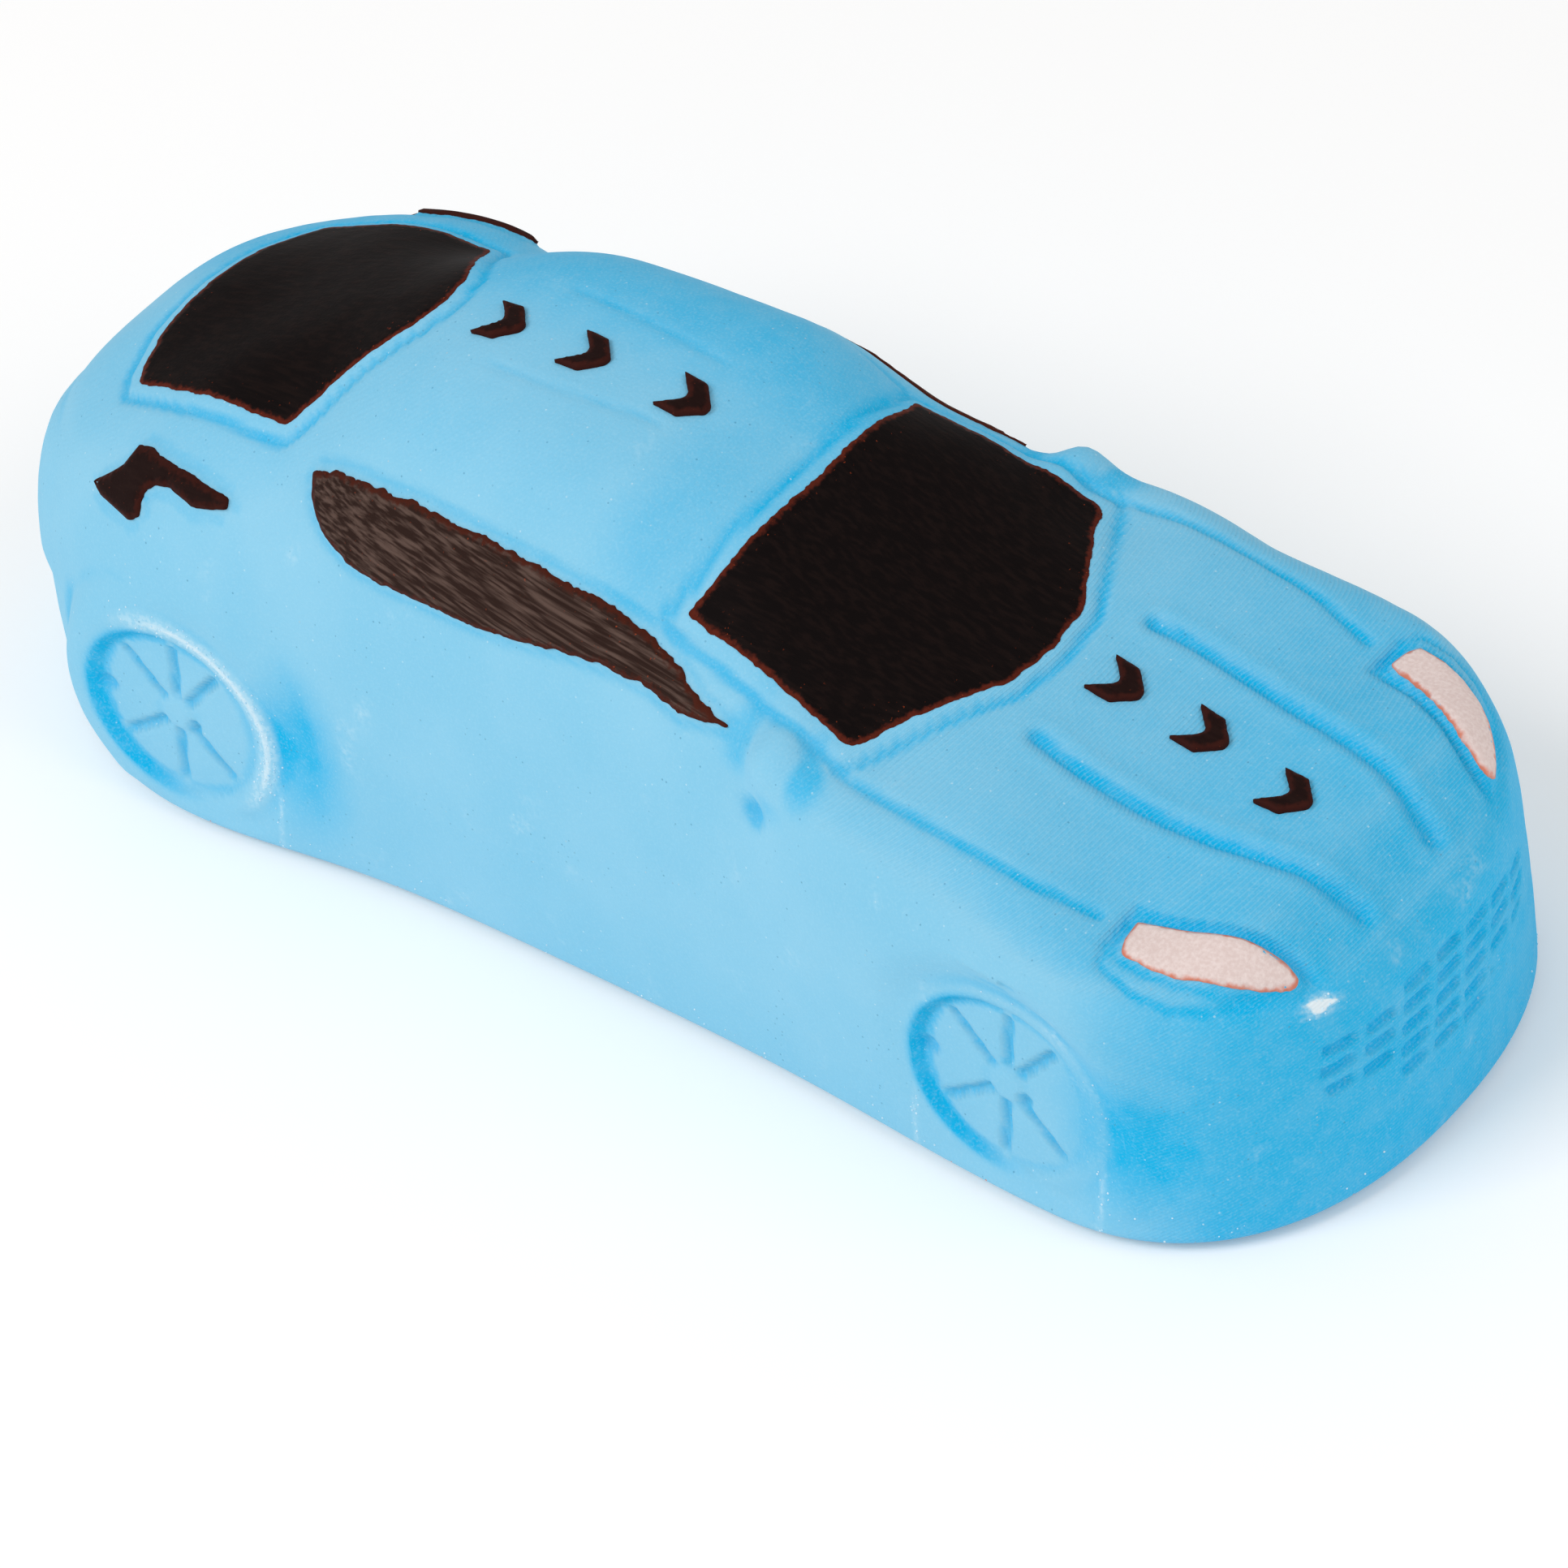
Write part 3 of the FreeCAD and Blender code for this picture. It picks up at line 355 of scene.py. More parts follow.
@dataclass
class Relief:
    """Everything that is moulded into the body's outer form, in mm."""

    form: BodyForm
    screen_lip: Points = tuple(mirrored((
        (0.0, -11.9), (6.3, -11.6), (13.0, -10.9), (15.3, -10.1), (15.9, -14.5),
        (16.4, -19.0), (17.0, -24.8), (17.4, -27.9), (14.2, -29.8), (9.6, -32.4),
        (5.2, -34.8), (0.0, -35.5),
    )))
    rear_lip: Points = tuple(mirrored((
        (0.0, 23.8), (3.5, 24.6), (6.0, 26.2), (9.6, 29.2), (13.6, 31.9),
        (13.8, 35.3), (13.5, 43.0), (12.6, 51.2), (10.8, 52.5), (6.2, 53.8), (0.0, 54.0),
    )))
    side_glass: Points = (
        (27.0, 37.2), (23.8, 38.4), (20.9, 39.0), (14.3, 39.6), (6.9, 39.4), (0.2, 39.0),
        (-4.5, 38.1), (-8.3, 36.7), (-12.5, 34.6), (-15.2, 33.3), (-18.0, 32.5),
        (-15.6, 32.4), (-13.4, 32.1), (-10.2, 33.1), (-5.6, 33.8), (-1.8, 33.9), (2.3, 33.3),
        (7.3, 32.9), (12.7, 32.9), (17.2, 32.8), (21.0, 33.1), (23.8, 34.1), (26.0, 35.8),
    )
    tail_lamp: Points = (
        (49.5, 29.8), (46.3, 32.1), (45.3, 33.6), (43.5, 34.0), (37.9, 34.3), (34.0, 33.8),
        (33.8, 33.0), (37.1, 32.6), (40.1, 33.0), (41.8, 32.5), (42.9, 31.5), (42.5, 30.3),
        (43.7, 29.4), (45.6, 29.5), (48.1, 29.5),
    )
    headlamp: Points = (
        (16.5, -54.3), (18.6, -54.5), (19.6, -55.0), (19.5, -57.3), (18.9, -59.4),
        (17.8, -61.5), (16.8, -63.0), (15.4, -64.4), (14.2, -65.4), (13.1, -66.0),
        (12.5, -65.9), (12.5, -65.0), (13.2, -63.0), (14.1, -61.0), (15.2, -58.6),
        (15.9, -56.2),
    )
    grooves: Sequence[Groove] = (
        Groove(0.4, 0.45, (
            (11.6, -66.6), (12.0, -64.6), (13.4, -61.4), (14.9, -57.5), (15.4, -53.6),
            (19.4, -53.5), (21.2, -54.2), (21.5, -57.0), (20.6, -59.8), (18.6, -62.7),
            (15.7, -65.0), (13.5, -66.3), (11.5, -67.5),
        )),
        Groove(0.62, 0.75, (
            (7.6, -39.0), (8.0, -43.0), (7.9, -48.5), (7.3, -55.0), (6.3, -60.5), (4.7, -66.0),
        ), ridge=0.12),
        Groove(0.38, 0.55, (
            (18.4, -28.0), (19.0, -34.0), (19.0, -40.0), (18.7, -46.0), (17.6, -51.5),
        )),
        Groove(0.16, 0.4, ((5.4, 15.0), (5.0, 7.0), (4.2, -1.0))),
    )
    # mirror, the hole ahead of it, and the hollows beside the rear and front wheels
    flank_bells: Sequence[Bell] = (
        Bell((-22.8, 31.6), 1.9, 2.0, (1.25, 0.95)), Bell((-21.7, 27.6), -0.9, 1.0),
        Bell((27.5, 13.0), -1.1, 6.5, (0.5, 1.0)), Bell((-58.0, 11.0), -1.0, 6.0, (0.5, 1.0)),
    )
    grille_outline: Points = tuple(mirrored((
        (0.0, 19.6), (9.0, 19.4), (13.6, 18.4), (14.0, 15.0), (12.8, 12.4),
        (9.9, 11.7), (6.4, 11.4), (6.0, 9.3), (4.2, 8.9), (0.0, 8.4),
    )))
    cell_pitch: Pair = (4.03, 1.95)
    cell_size: Pair = (3.2, 1.3)
    cell_corner: float = 0.45
    cell_depth: float = 0.55
    grille_lean: float = 0.2
    grille_middle: float = 14.0
    grille_tops: Sequence[float] = (17.1, 16.9, 18.1, 17.9, 17.5, 16.9, 16.1)
    nose_start: float = -60.0
    tail_step: float = 0.55
    foot: float = 3.0
    edge_inset: float = 0.35
    wheels: Sequence[WheelRelief] = field(default_factory=lambda: (
        WheelRelief(along=-45.0, across=23.95, turn=2.83),
        WheelRelief(along=41.0, across=24.7, turn=6.7, lip=0.5, lip_width=1.1),
    ))
    swell: ValueNoise = field(default_factory=lambda: ValueNoise(5, 9.0))
    swell_height: float = 0.10
    grain: ValueNoise = field(default_factory=lambda: ValueNoise(11, 1.6))
    grain_height: float = 0.02

    def plateau(self, depth: Array, rise: float, groove: float) -> Array:
        """Raised field with a groove round it, from the depth inside its outline."""
        return rise * ramp(-0.3, 0.35, depth) - groove * bump(depth + 0.55, 0.4)

    def on_top(self, x: Array, y: Array) -> Array:
        """Relief of the bonnet, glass and roof, seen from above."""
        a = np.abs(x)
        lift = self.plateau(inside_depth(x, y, self.screen_lip), rise=0.18, groove=0.34)
        lift = lift + self.plateau(inside_depth(x, y, self.rear_lip), rise=0.18, groove=0.34)
        lift = lift + self.plateau(inside_depth(a, y, self.headlamp), rise=0.22, groove=0.3)
        return lift - sum(groove(a, y) for groove in self.grooves)

    def on_flank(self, y: Array, z: Array) -> Array:
        """Relief of the side windows, tail lamps, mirrors and hollows, seen from the side."""
        lift = self.plateau(inside_depth(y, z, self.side_glass), rise=0.12, groove=0.16)
        lift = lift + 0.32 * ramp(-0.2, 0.2, inside_depth(y, z, self.tail_lamp))
        return lift + sum(bell(y, z) for bell in self.flank_bells)

    def grille(self, x: Array, z: Array) -> Array:
        """How deep inside a grille cell each point of the nose lies."""
        pitch_x, pitch_z = self.cell_pitch
        across = x - self.grille_lean * (z - self.grille_middle)
        column = np.round(across / pitch_x)
        middle = len(self.grille_tops) // 2
        columns = np.clip(column + middle, 0, 2 * middle).astype(int)
        down = np.take(self.grille_tops, columns) - z
        row = np.round(down / pitch_z)
        places = (across - column * pitch_x, down - row * pitch_z)
        past = (np.maximum(np.abs(place) - size / 2 + self.cell_corner, 0.0)
                for place, size in zip(places, self.cell_size))
        cell = self.cell_corner - np.hypot(*past)
        cell = np.where((row < -0.5) | (np.abs(column) > middle), -1.0, cell)
        return np.minimum(cell, inside_depth(x, z, self.grille_outline))

    def offset(self, place: Array, normal: Array) -> Array:
        """Distance along the normal that the relief adds at each point.

        Args:
            place: Points of the plain form, in mm, with the coordinates last.
            normal: Unit normals there.

        Returns:
            The distance outward, in mm.
        """
        x, y, z = np.moveaxis(place, -1, 0)
        facing_side, facing_back, facing_up = np.moveaxis(normal, -1, 0)
        beside = np.abs(x)
        top = np.maximum(ramp(0.25, 0.6, facing_up), ramp(22.0, 24.0, z))
        flank = ramp(0.15, 0.45, np.abs(facing_side)) * ramp(8.0, 12.0, beside)
        lift = self.on_top(x, y) * top + self.on_flank(y, z) * flank
        for wheel in self.wheels:
            near = ramp(15.0, 18.0, beside) * (z < 24)
            lift = lift + wheel.offset(x, y, z) * near
        front = ramp(0.2, 0.5, -facing_back) * (y < self.nose_start)
        lift = lift - self.cell_depth * ramp(0.0, 0.5, self.grille(x, z)) * front
        tail = ramp(0.2, 0.6, facing_back) * ramp(56.0, 62.0, y)
        lift = lift + self.tail_step * tail * ramp(15.4, 16.6, z) * fade(26.5, 28.5, z)
        lift = lift + self.swell_height * self.swell(x, y, z)
        lift = lift + self.grain_height * self.grain(x, y, z)
        edge = np.clip(1 - (z - self.form.rim) / 0.7, 0.0, 1.0)
        low = lift * ramp(self.form.rim, self.foot, z)
        return np.where(z < self.foot, low, lift) - self.edge_inset * edge**2


# ---- finishes


def linear(code: str) -> tuple[float, float, float, float]:
    """Linear colour of an sRGB hex code."""
    parts = [int(code[i : i + 2], 16) / 255 for i in (1, 3, 5)]
    curve = [c / 12.92 if c <= 0.04045 else ((c + 0.055) / 1.055) ** 2.4 for c in parts]
    return (*curve, 1.0)


class NodeKit:
    """Adds nodes to one tree; a value may be a number, a hex colour or another node's socket."""

    def __init__(self, tree: bpy.types.NodeTree, place: Socket | None = None) -> None:
        """Work on a tree, where place is the position in mm."""
        self.tree = tree
        self.place = place

    def fill(self, node: bpy.types.Node, **inputs: object) -> bpy.types.Node:
        """Set or link inputs of a node.

        Args:
            node: The node.
            **inputs: Value of each input, by its name with _ for spaces, or by its number
                as i0, i1 and so on.

        Returns:
            The same node.
        """
        for name, value in inputs.items():
            by_number = name[0] == "i" and name[1:].isdigit()
            socket = node.inputs[int(name[1:]) if by_number else name.replace("_", " ")]
            if isinstance(value, Socket):
                self.tree.links.new(value, socket)
            else:
                coloured = isinstance(value, str) and value.startswith("#")
                socket.default_value = linear(value) if coloured else value
        return node

    def add(self, kind: str, settings: dict | None = None, **inputs: object) -> bpy.types.Node:
        """Add a node with its own settings, and fill its inputs."""
        node = self.tree.nodes.new(kind)
        for name, value in (settings or {}).items():
            setattr(node, name, value)
        return self.fill(node, **inputs)

    def maths(self, operation: str, *values: object) -> Socket:
        """Result of a sum on numbers."""
        numbered = {f"i{i}": value for i, value in enumerate(values)}
        return self.add("ShaderNodeMath", {"operation": operation}, **numbered).outputs[0]

    def times(self, a: object, b: object) -> Socket:
        """Product of two values."""
        return self.maths("MULTIPLY", a, b)

    def plus(self, a: object, b: object) -> Socket:
        """Sum of two values."""
        return self.maths("ADD", a, b)

    def stretch(self, by: Triple) -> Socket:
        """The position, scaled along each axis."""
        settings = {"operation": "MULTIPLY"}
        return self.add("ShaderNodeVectorMath", settings, i0=self.place, i1=by).outputs[0]

    def apart(self, vector: Socket) -> Sequence[Socket]:
        """The three numbers of a vector."""
        return self.add("ShaderNodeSeparateXYZ", i0=vector).outputs

    def mix(self, share: object, low: object, high: object) -> Socket:
        """Colour between two, by a share from 0 to 1."""
        colours = {"data_type": "RGBA"}
        return self.add("ShaderNodeMix", colours, i0=share, i6=low, i7=high).outputs[2]

    def spread(self, value: Socket, low: float, high: float, to_low: float = 0.0,
               to_high: float = 1.0) -> Socket:
        """Smooth map of a value from one range to another."""
        node = self.add("ShaderNodeMapRange", {"interpolation_type": "SMOOTHSTEP"},
                        i0=value, i1=low, i2=high, i3=to_low, i4=to_high)
        return node.outputs[0]

    def noise(self, size: float, detail: float, place: Socket | None = None) -> Socket:
        """Noise with features of about size mm."""
        place = self.place if place is None else place
        node = self.add("ShaderNodeTexNoise", Vector=place, Scale=1 / size, Detail=detail)
        return node.outputs[0]

    def attribute(self, name: str) -> Socket:
        """Value of one of the mesh's own attributes."""
        return self.add("ShaderNodeAttribute", {"attribute_name": name}).outputs["Fac"]


@dataclass(frozen=True)
class Finish:
    """A surface finish that builds one material."""

    name: str = "finish"
    roughness: float = 0.5
    specular: float = 0.5
    bump_strength: float = 0.5
    bump_depth: float = 0.06

    def build(self) -> bpy.types.Material:
        """Make the material from what dress() returns."""
        material = bpy.data.materials.new(self.name)
        material.use_nodes = True
        material.node_tree.nodes.clear()
        kit = NodeKit(material.node_tree)
        shader = kit.add("ShaderNodeBsdfPrincipled", Roughness=self.roughness,
                         Specular_IOR_Level=self.specular)
        kit.add("ShaderNodeOutputMaterial", Surface=shader.outputs[0])
        where = kit.add("ShaderNodeTexCoord").outputs["Object"]
        scaled = kit.add("ShaderNodeVectorMath", {"operation": "SCALE"}, Vector=where, Scale=1 / MM)
        kit.place = scaled.outputs[0]
        looks = self.dress(kit)
        if "height" in looks:
            bumps = kit.add("ShaderNodeBump", Strength=self.bump_strength,
                            Distance=self.bump_depth * MM, Height=looks.pop("height"))
            looks["Normal"] = bumps.outputs[0]
        kit.fill(shader, **looks)
        return material

    def dress(self, kit: NodeKit) -> Looks:
        """Return the shader's inputs, and under height what its bumps follow."""
        raise NotImplementedError


@dataclass(frozen=True)
class ChalkyCasting(Finish):
    """Tinted cast body: chalky, matt, with fine tool paths copied from the master."""

    name: str = "cast_tinted_chalk_matt"
    main: str = "#8ACBE8"
    pale: str = "#A4D7EE"
    # colour of the painted shade
    deep_shade: str = "#00B4E8"
    bloom_and_highlight: str = "#C6E6F4"
    speck: str = "#4A8FB4"
    chipped: str = "#EEF6F9"
    crumb: str = "#DE7A55"
    path_step: float = 0.5
    path_bend: float = 1.5
    speck_step: float = 0.7
    roughness: float = 0.62
    specular: float = 0.14
    bump_strength: float = 0.8

    def dress(self, kit: NodeKit) -> Looks:
        """Colour from clouds, bloom, specks and painted shade; bumps from tool paths and grain."""
        times, spread, mix, noise = kit.times, kit.spread, kit.mix, kit.noise
        clouds = spread(noise(14.0, 3.0), 0.35, 0.75)
        colour = mix(times(clouds, 0.35), self.main, self.pale)
        mottled = spread(noise(2.2, 6.0), 0.3, 0.7, 0.88, 1.06)
        # painted shade: deeper blue in grooves, recesses, on the nose and across the top
        colour = mix(times(kit.attribute("tint"), mottled), colour, self.deep_shade)
        colour = mix(spread(noise(0.22, 2.0), 0.45, 0.75, 0.0, 0.22), colour, self.pale)

        mottle = spread(noise(0.5, 3.0), 0.35, 0.75)
        bloom_and_highlight = kit.attribute("bloom_and_highlight")
        patches = times(times(spread(noise(6.0, 5.0), 0.60, 0.78), mottle), bloom_and_highlight)
        # pale on the wheel lips: partly wear, partly a painted highlight
        worn_and_lit = times(spread(bloom_and_highlight, 1.0, 2.2), spread(mottle, 0.1, 0.6, 0.4, 1.0))
        patches = kit.plus(patches, worn_and_lit)
        colour = mix(times(patches, 0.55), colour, self.bloom_and_highlight)
        colour = mix(times(spread(bloom_and_highlight, 2.2, 2.8), 0.9), colour, self.chipped)

        _, along, height = kit.apart(kit.place)
        cells = kit.add("ShaderNodeTexVoronoi", Vector=kit.place, Scale=1 / self.speck_step)
        dot = spread(cells.outputs["Distance"], 0.17, 0.08)
        rare = kit.add("ShaderNodeSeparateColor", i0=cells.outputs["Color"]).outputs
        dark = times(dot, spread(rare[0], 0.70, 0.95))
        colour = mix(times(dark, 0.6), colour, self.speck)
        light = times(dot, spread(rare[1], 0.86, 0.94))
        colour = mix(times(light, 0.55), colour, self.bloom_and_highlight)
        orange = times(dot, spread(rare[2], 0.86, 0.92))
        colour = mix(times(orange, spread(height, 2.4, 1.2)), colour, self.crumb)

        # copied tool paths run across the car and bend where the surface falls away
        fall = kit.plus(times(height, self.path_bend), along)
        wave = kit.maths("SINE", times(fall, math.tau / self.path_step))
        wave = times(wave, kit.attribute("layers"))
        colour = mix(spread(wave, 0.1, 0.9, 0.0, 0.16), colour, self.pale)
        relief = kit.plus(times(wave, 0.4), times(noise(0.35, 3.0), 1.3))
        return {"Base_Color": colour, "height": kit.plus(relief, times(patches, 0.3))}


@dataclass(frozen=True)
class BrushedPaint(Finish):
    """Thick dark food-like paint brushed on by hand, redder where it thins at its edge."""

    name: str = "brushed_dark_paint"
    main: str = "#0C0606"
    thin: str = "#5A2114"
    fleck: str = "#A8441F"
    streak: str = "#3A2620"
    streak_share: float = 0.12
    streak_stretch: Triple = (1.0, 0.12, 1.0)
    streak_slope: float = 0.0
    roughness: float = 0.65
    specular: float = 0.06

    def dress(self, kit: NodeKit) -> Looks:
        """Colour by the distance from the edge, with brush streaks and flecks."""
        times, spread = kit.times, kit.spread
        drop = times(kit.apart(kit.place)[1], -self.streak_slope)
        fall = kit.add("ShaderNodeCombineXYZ", Z=drop).outputs[0]
        level = kit.add("ShaderNodeVectorMath", i0=kit.place, i1=fall).outputs[0]
        stretched = NodeKit(kit.tree, level).stretch(self.streak_stretch)
        streaks = kit.noise(0.45, 3.3, stretched)
        share = times(spread(streaks, 0.4, 0.7), self.streak_share)
        colour = kit.mix(share, self.main, self.streak)
        edge = kit.attribute("edge")
        ragged = kit.plus(edge, times(kit.noise(0.5, 4.0), -0.9))
        colour = kit.mix(spread(ragged, 0.1, -0.35), colour, self.thin)
        fine = kit.noise(0.3, 4.0)
        flecks = times(spread(fine, 0.68, 0.76), spread(edge, 3.0, 0.3))
        colour = kit.mix(times(flecks, 0.8), colour, self.fleck)
        return {"Base_Color": colour, "height": kit.plus(streaks, times(fine, 0.7))}


@dataclass(frozen=True)
class PaleLampPaint(Finish):
    """Thin pale pink paint with an orange line where its edge wore through."""

    name: str = "brushed_pale_paint"
    main: str = "#EBDAD6"
    shade: str = "#DEC9C4"
    edge_line: str = "#D8714F"
    roughness: float = 0.6
    specular: float = 0.3
    bump_depth: float = 0.05

    def dress(self, kit: NodeKit) -> Looks:
        """Mottled pale colour with an orange edge."""
        colour = kit.mix(kit.spread(kit.noise(0.3, 4.0), 0.3, 0.75), self.shade, self.main)
        ragged = kit.plus(kit.attribute("edge"), kit.times(kit.noise(0.9, 4.0), -0.8))
        line = kit.times(kit.spread(ragged, -0.06, -0.42), 0.9)
        colour = kit.mix(line, colour, self.edge_line)
        return {"Base_Color": colour, "height": kit.noise(0.3, 3.0)}


@dataclass(frozen=True)
class MouldedPlastic(Finish):
    """Injection-moulded plastic or rubber with a fine spark-eroded grain."""

    name: str = "moulded_plastic"
    main: str = "#101114"
    scuff: str = "#2A2B2E"
    grain_size: float = 0.25
    bump_strength: float = 0.3
    bump_depth: float = 0.02

    def dress(self, kit: NodeKit) -> Looks:
        """Even colour with faint clouds, and a fine grain in the bump."""
        clouds = kit.times(kit.spread(kit.noise(4.0, 4.0), 0.45, 0.75), 0.4)
        colour = kit.mix(clouds, self.main, self.scuff)
        return {"Base_Color": colour, "height": kit.noise(self.grain_size, 2.0)}


@dataclass(frozen=True)
class TurnedSteel(Finish):
    """Plated or blued steel with fine marks round it from turning or rolling."""

    name: str = "plated_steel"
    main: str = "#B9BCBC"
    dull: str = "#8B8F91"
    roughness: float = 0.32
    streak_stretch: Triple = (6.0, 1.0, 1.0)

    def dress(self, kit: NodeKit) -> Looks:
        """Metal with rolled streaks and a few dull patches."""
        streaks = kit.noise(0.8, 3.0, kit.stretch(self.streak_stretch))
        colour = kit.mix(kit.spread(streaks, 0.4, 0.7), self.main, self.dull)
        rough = kit.spread(streaks, 0.3, 0.8, self.roughness - 0.08, self.roughness + 0.1)
        return {"Base_Color": colour, "Metallic": 1.0, "Roughness": rough}


@dataclass(frozen=True)
class PaleCrumb(Finish):
    """Loose crumbs of the casting, paler than the body because they are all broken faces."""

    name: str = "cast_crumbs_pale"
    main: str = "#A9D9F0"
    pale: str = "#DDF1FA"
    roughness: float = 0.8
    bump_strength: float = 0.4
    bump_depth: float = 0.01

    def dress(self, kit: NodeKit) -> Looks:
        """Pale colour that varies from crumb to crumb."""
        colour = kit.mix(kit.spread(kit.noise(0.4, 2.0), 0.35, 0.65), self.main, self.pale)
        return {"Base_Color": colour, "height": kit.noise(0.05, 2.0)}


# ---- meshes


def linked(name: str, data: bpy.types.ID) -> bpy.types.Object:
    """New object of a mesh, camera or light, linked to the scene."""
    made = bpy.data.objects.new(name, data)
    bpy.context.scene.collection.objects.link(made)
    return made


def make_object(name: str, points: Array, faces: Sequence[Sequence[int]],
                material: bpy.types.Material, values: dict[str, Array] | None = None,
                smooth: bool = True) -> bpy.types.Object:
    """Mesh object at the origin from points in mm.

    Args:
        name: The piece's name.
        points: Vertices, in mm.
        faces: Corners of each face.
        material: The piece's finish.
        values: One number per vertex for each attribute name.
        smooth: Whether the faces are shaded as one curved surface.

    Returns:
        The new object, linked to the scene.
    """
    mesh = bpy.data.meshes.new(name)
    mesh.from_pydata((np.asarray(points, float) * MM).tolist(), [], [list(f) for f in faces])
    for key, numbers in (values or {}).items():
        attribute = mesh.attributes.new(key, "FLOAT", "POINT")
        attribute.data.foreach_set("value", np.asarray(numbers, np.float32).ravel())
    mesh.materials.append(material)
    mesh.validate()
    if smooth:
        mesh.shade_smooth()
    return linked(name, mesh)


def weld(piece: bpy.types.Object, distance: float = 2e-6) -> None:
    """Merge doubled vertices, turn every face outward and shade them as one surface."""
    work = bmesh.new()
    work.from_mesh(piece.data)
    bmesh.ops.remove_doubles(work, verts=work.verts, dist=distance)
    bmesh.ops.dissolve_degenerate(work, edges=work.edges, dist=1e-8)
    bmesh.ops.recalc_face_normals(work, faces=work.faces)
    work.to_mesh(piece.data)
    work.free()
    piece.data.shade_smooth()


class Wear:
    """How the casting's colour, painted shade and crust vary: one value for each point of its grid.
    """

    # painted shade in the hollows beside the wheels, pale spot beside the rear window, chip under
    # the left lamp
    shaded_hollows = (
        Bell((27.5, 12.5), 0.9, 7.5, (0.55, 1.0)), Bell((-58.5, 11.0), 1.2, 8.0, (0.8, 1.0)),
    )
    pale_spot = Bell((6.5, 20.5), 1.2, 3.0, (1.0, 1 / 0.7))
    bare_chip = Bell((-12.1, 21.4), 1.0, 0.95, (1 / 0.8, 1 / 1.3))
    drags = (-35.8, -53.6, 31.2)
    drag_lean = 0.08
    # where crumbs have room inside the car's box: half across, half along, lowest
    room = (25.2, 69.6, 1.4)

    def __init__(self, relief: Relief, grid: Array, normal: Array, offset: Array) -> None:
        """Take the grid's points, its normals and how far the relief moves it."""
        self.relief, self.offset = relief, offset
        self.x, self.y, self.z = np.moveaxis(grid, -1, 0)
        self.front, self.up = -normal[..., 1], normal[..., 2]
        self.beside = np.abs(self.x)
        self.by_wheels = self.beside > 15

    def round_wheels(self) -> Iterator[tuple[WheelRelief, Array, Array, Array]]:
        """Each wheel, with the distance from its edge and the unit direction, ahead and up."""
        for wheel in self.relief.wheels:
            ahead, up = wheel.along - self.y, self.z - wheel.height
            r = np.hypot(ahead, up)
            size = np.maximum(r, 1e-6)
            yield wheel, r - wheel.radius, ahead / size, up / size

    def creases(self) -> Array:
        """How far each point lies below those three steps off, across and along."""
        below = [
            self.offset - 0.5 * (np.roll(self.offset, 3, axis) + np.roll(self.offset, -3, axis))
            for axis in (1, 0)
        ]
        return -np.minimum(*below)

    def tint(self) -> Array:
        """Painted shade as a deeper blue, from 0 where it is palest to 1 in grooves and on the
        nose.
        """
        x, y, z = self.x, self.y, self.z
        # painted shade in creases and grooves
        deep_shade = 0.55 * ramp(0.03, 0.35, self.creases()) * ramp(3.0, 5.0, z)
        # painted shade in the grille's cells
        on_nose = (y < self.relief.nose_start) & (self.front > 0.2)
        cells = ramp(0.0, 0.5, self.relief.grille(x, z)) * on_nose
        # painted shade on forward faces, on the top towards the front, and on the right of the top
        nose = 0.9 * ramp(0.0, 0.8, self.front)
        top = ramp(0.5, 0.95, self.up) * (0.22 + 0.45 * fade(-64.0, -24.0, y))
        aside = ramp(-3.0, 9.0, x) * ramp(0.4, 0.8, self.up)
        top = top + (0.05 + 0.45 * ramp(-30.0, -12.0, y)) * aside
        # painted shade in the hollows beside the wheels
        hollows = sum(hollow(y, z) for hollow in self.shaded_hollows)
        hollows = hollows * (self.beside > 12) * fade(0.5, 0.8, self.up)
        # painted shadow in each wheel's recess, along its rear edge
        wheels = 0.0
        for wheel, beyond, ahead, _ in self.round_wheels():
            wheels = wheels + ramp(-0.3, 0.6, -ahead) * bump(beyond + 0.1, 0.45) * self.by_wheels
        base = np.maximum(np.maximum(nose, 0.08), np.maximum(top, hollows))
        # painted shade is lifted off the wheel lips, where a painted highlight goes
        base = base * (1 - 0.8 * self.lit_worn_lips())
        return np.clip(base + deep_shade + cells * 0.6 + wheels, 0.0, 1.0)

    def lit_worn_lips(self) -> Array:
        """Where the wheel lips are pale, from 0 to 1: partly wear, partly a painted highlight on
        their front and top.
        """
        worn_and_lit = 0.0
        for wheel, beyond, ahead, up in self.round_wheels():
            ring = bump(beyond - wheel.lip_width, wheel.lip_width * 0.8)
            # the front and top of each lip, where the painted highlight goes
            facing = ramp(-0.2, 0.7, ahead + 0.7 * up)
            worn_and_lit = worn_and_lit + ring * facing * wheel.lip * 2 * self.by_wheels
        return np.clip(worn_and_lit, 0.0, 1.0)

    def layers(self) -> Array:
        """How strongly the copied tool paths show, from 0 to 1."""
        gentle = ramp(0.35, 0.75, self.up) * (1 - 0.35 * ramp(0.985, 1.0, self.up))
        gentle = np.maximum(gentle, 0.55 * ramp(0.1, 0.5, self.front))
        return gentle * (1.0 - 0.7 * ramp(-34.0, -22.0, self.y))

    def bloom_and_highlight(self) -> Array:
        """Where pale bloom shows, 0 to 1; above 1 on the wheel lips, partly painted highlight;
        above 2 where bare.
        """
        soft = 0.35 + 0.6 * fade(0.35, 0.7, self.up) + self.pale_spot(self.x, self.y)
        return np.clip(soft, 0.0, 1.0) + 1.6 * self.lit_worn_lips() + 3 * self.chip() + self.drag_lines()

    def chip(self) -> Array:
        """The bare white chip under the left lamp, from 0 to 1."""
        wavy = self.x + 0.5 * np.sin(7.0 * self.z)
        return self.bare_chip(wavy, self.z) * (self.y < self.relief.nose_start)

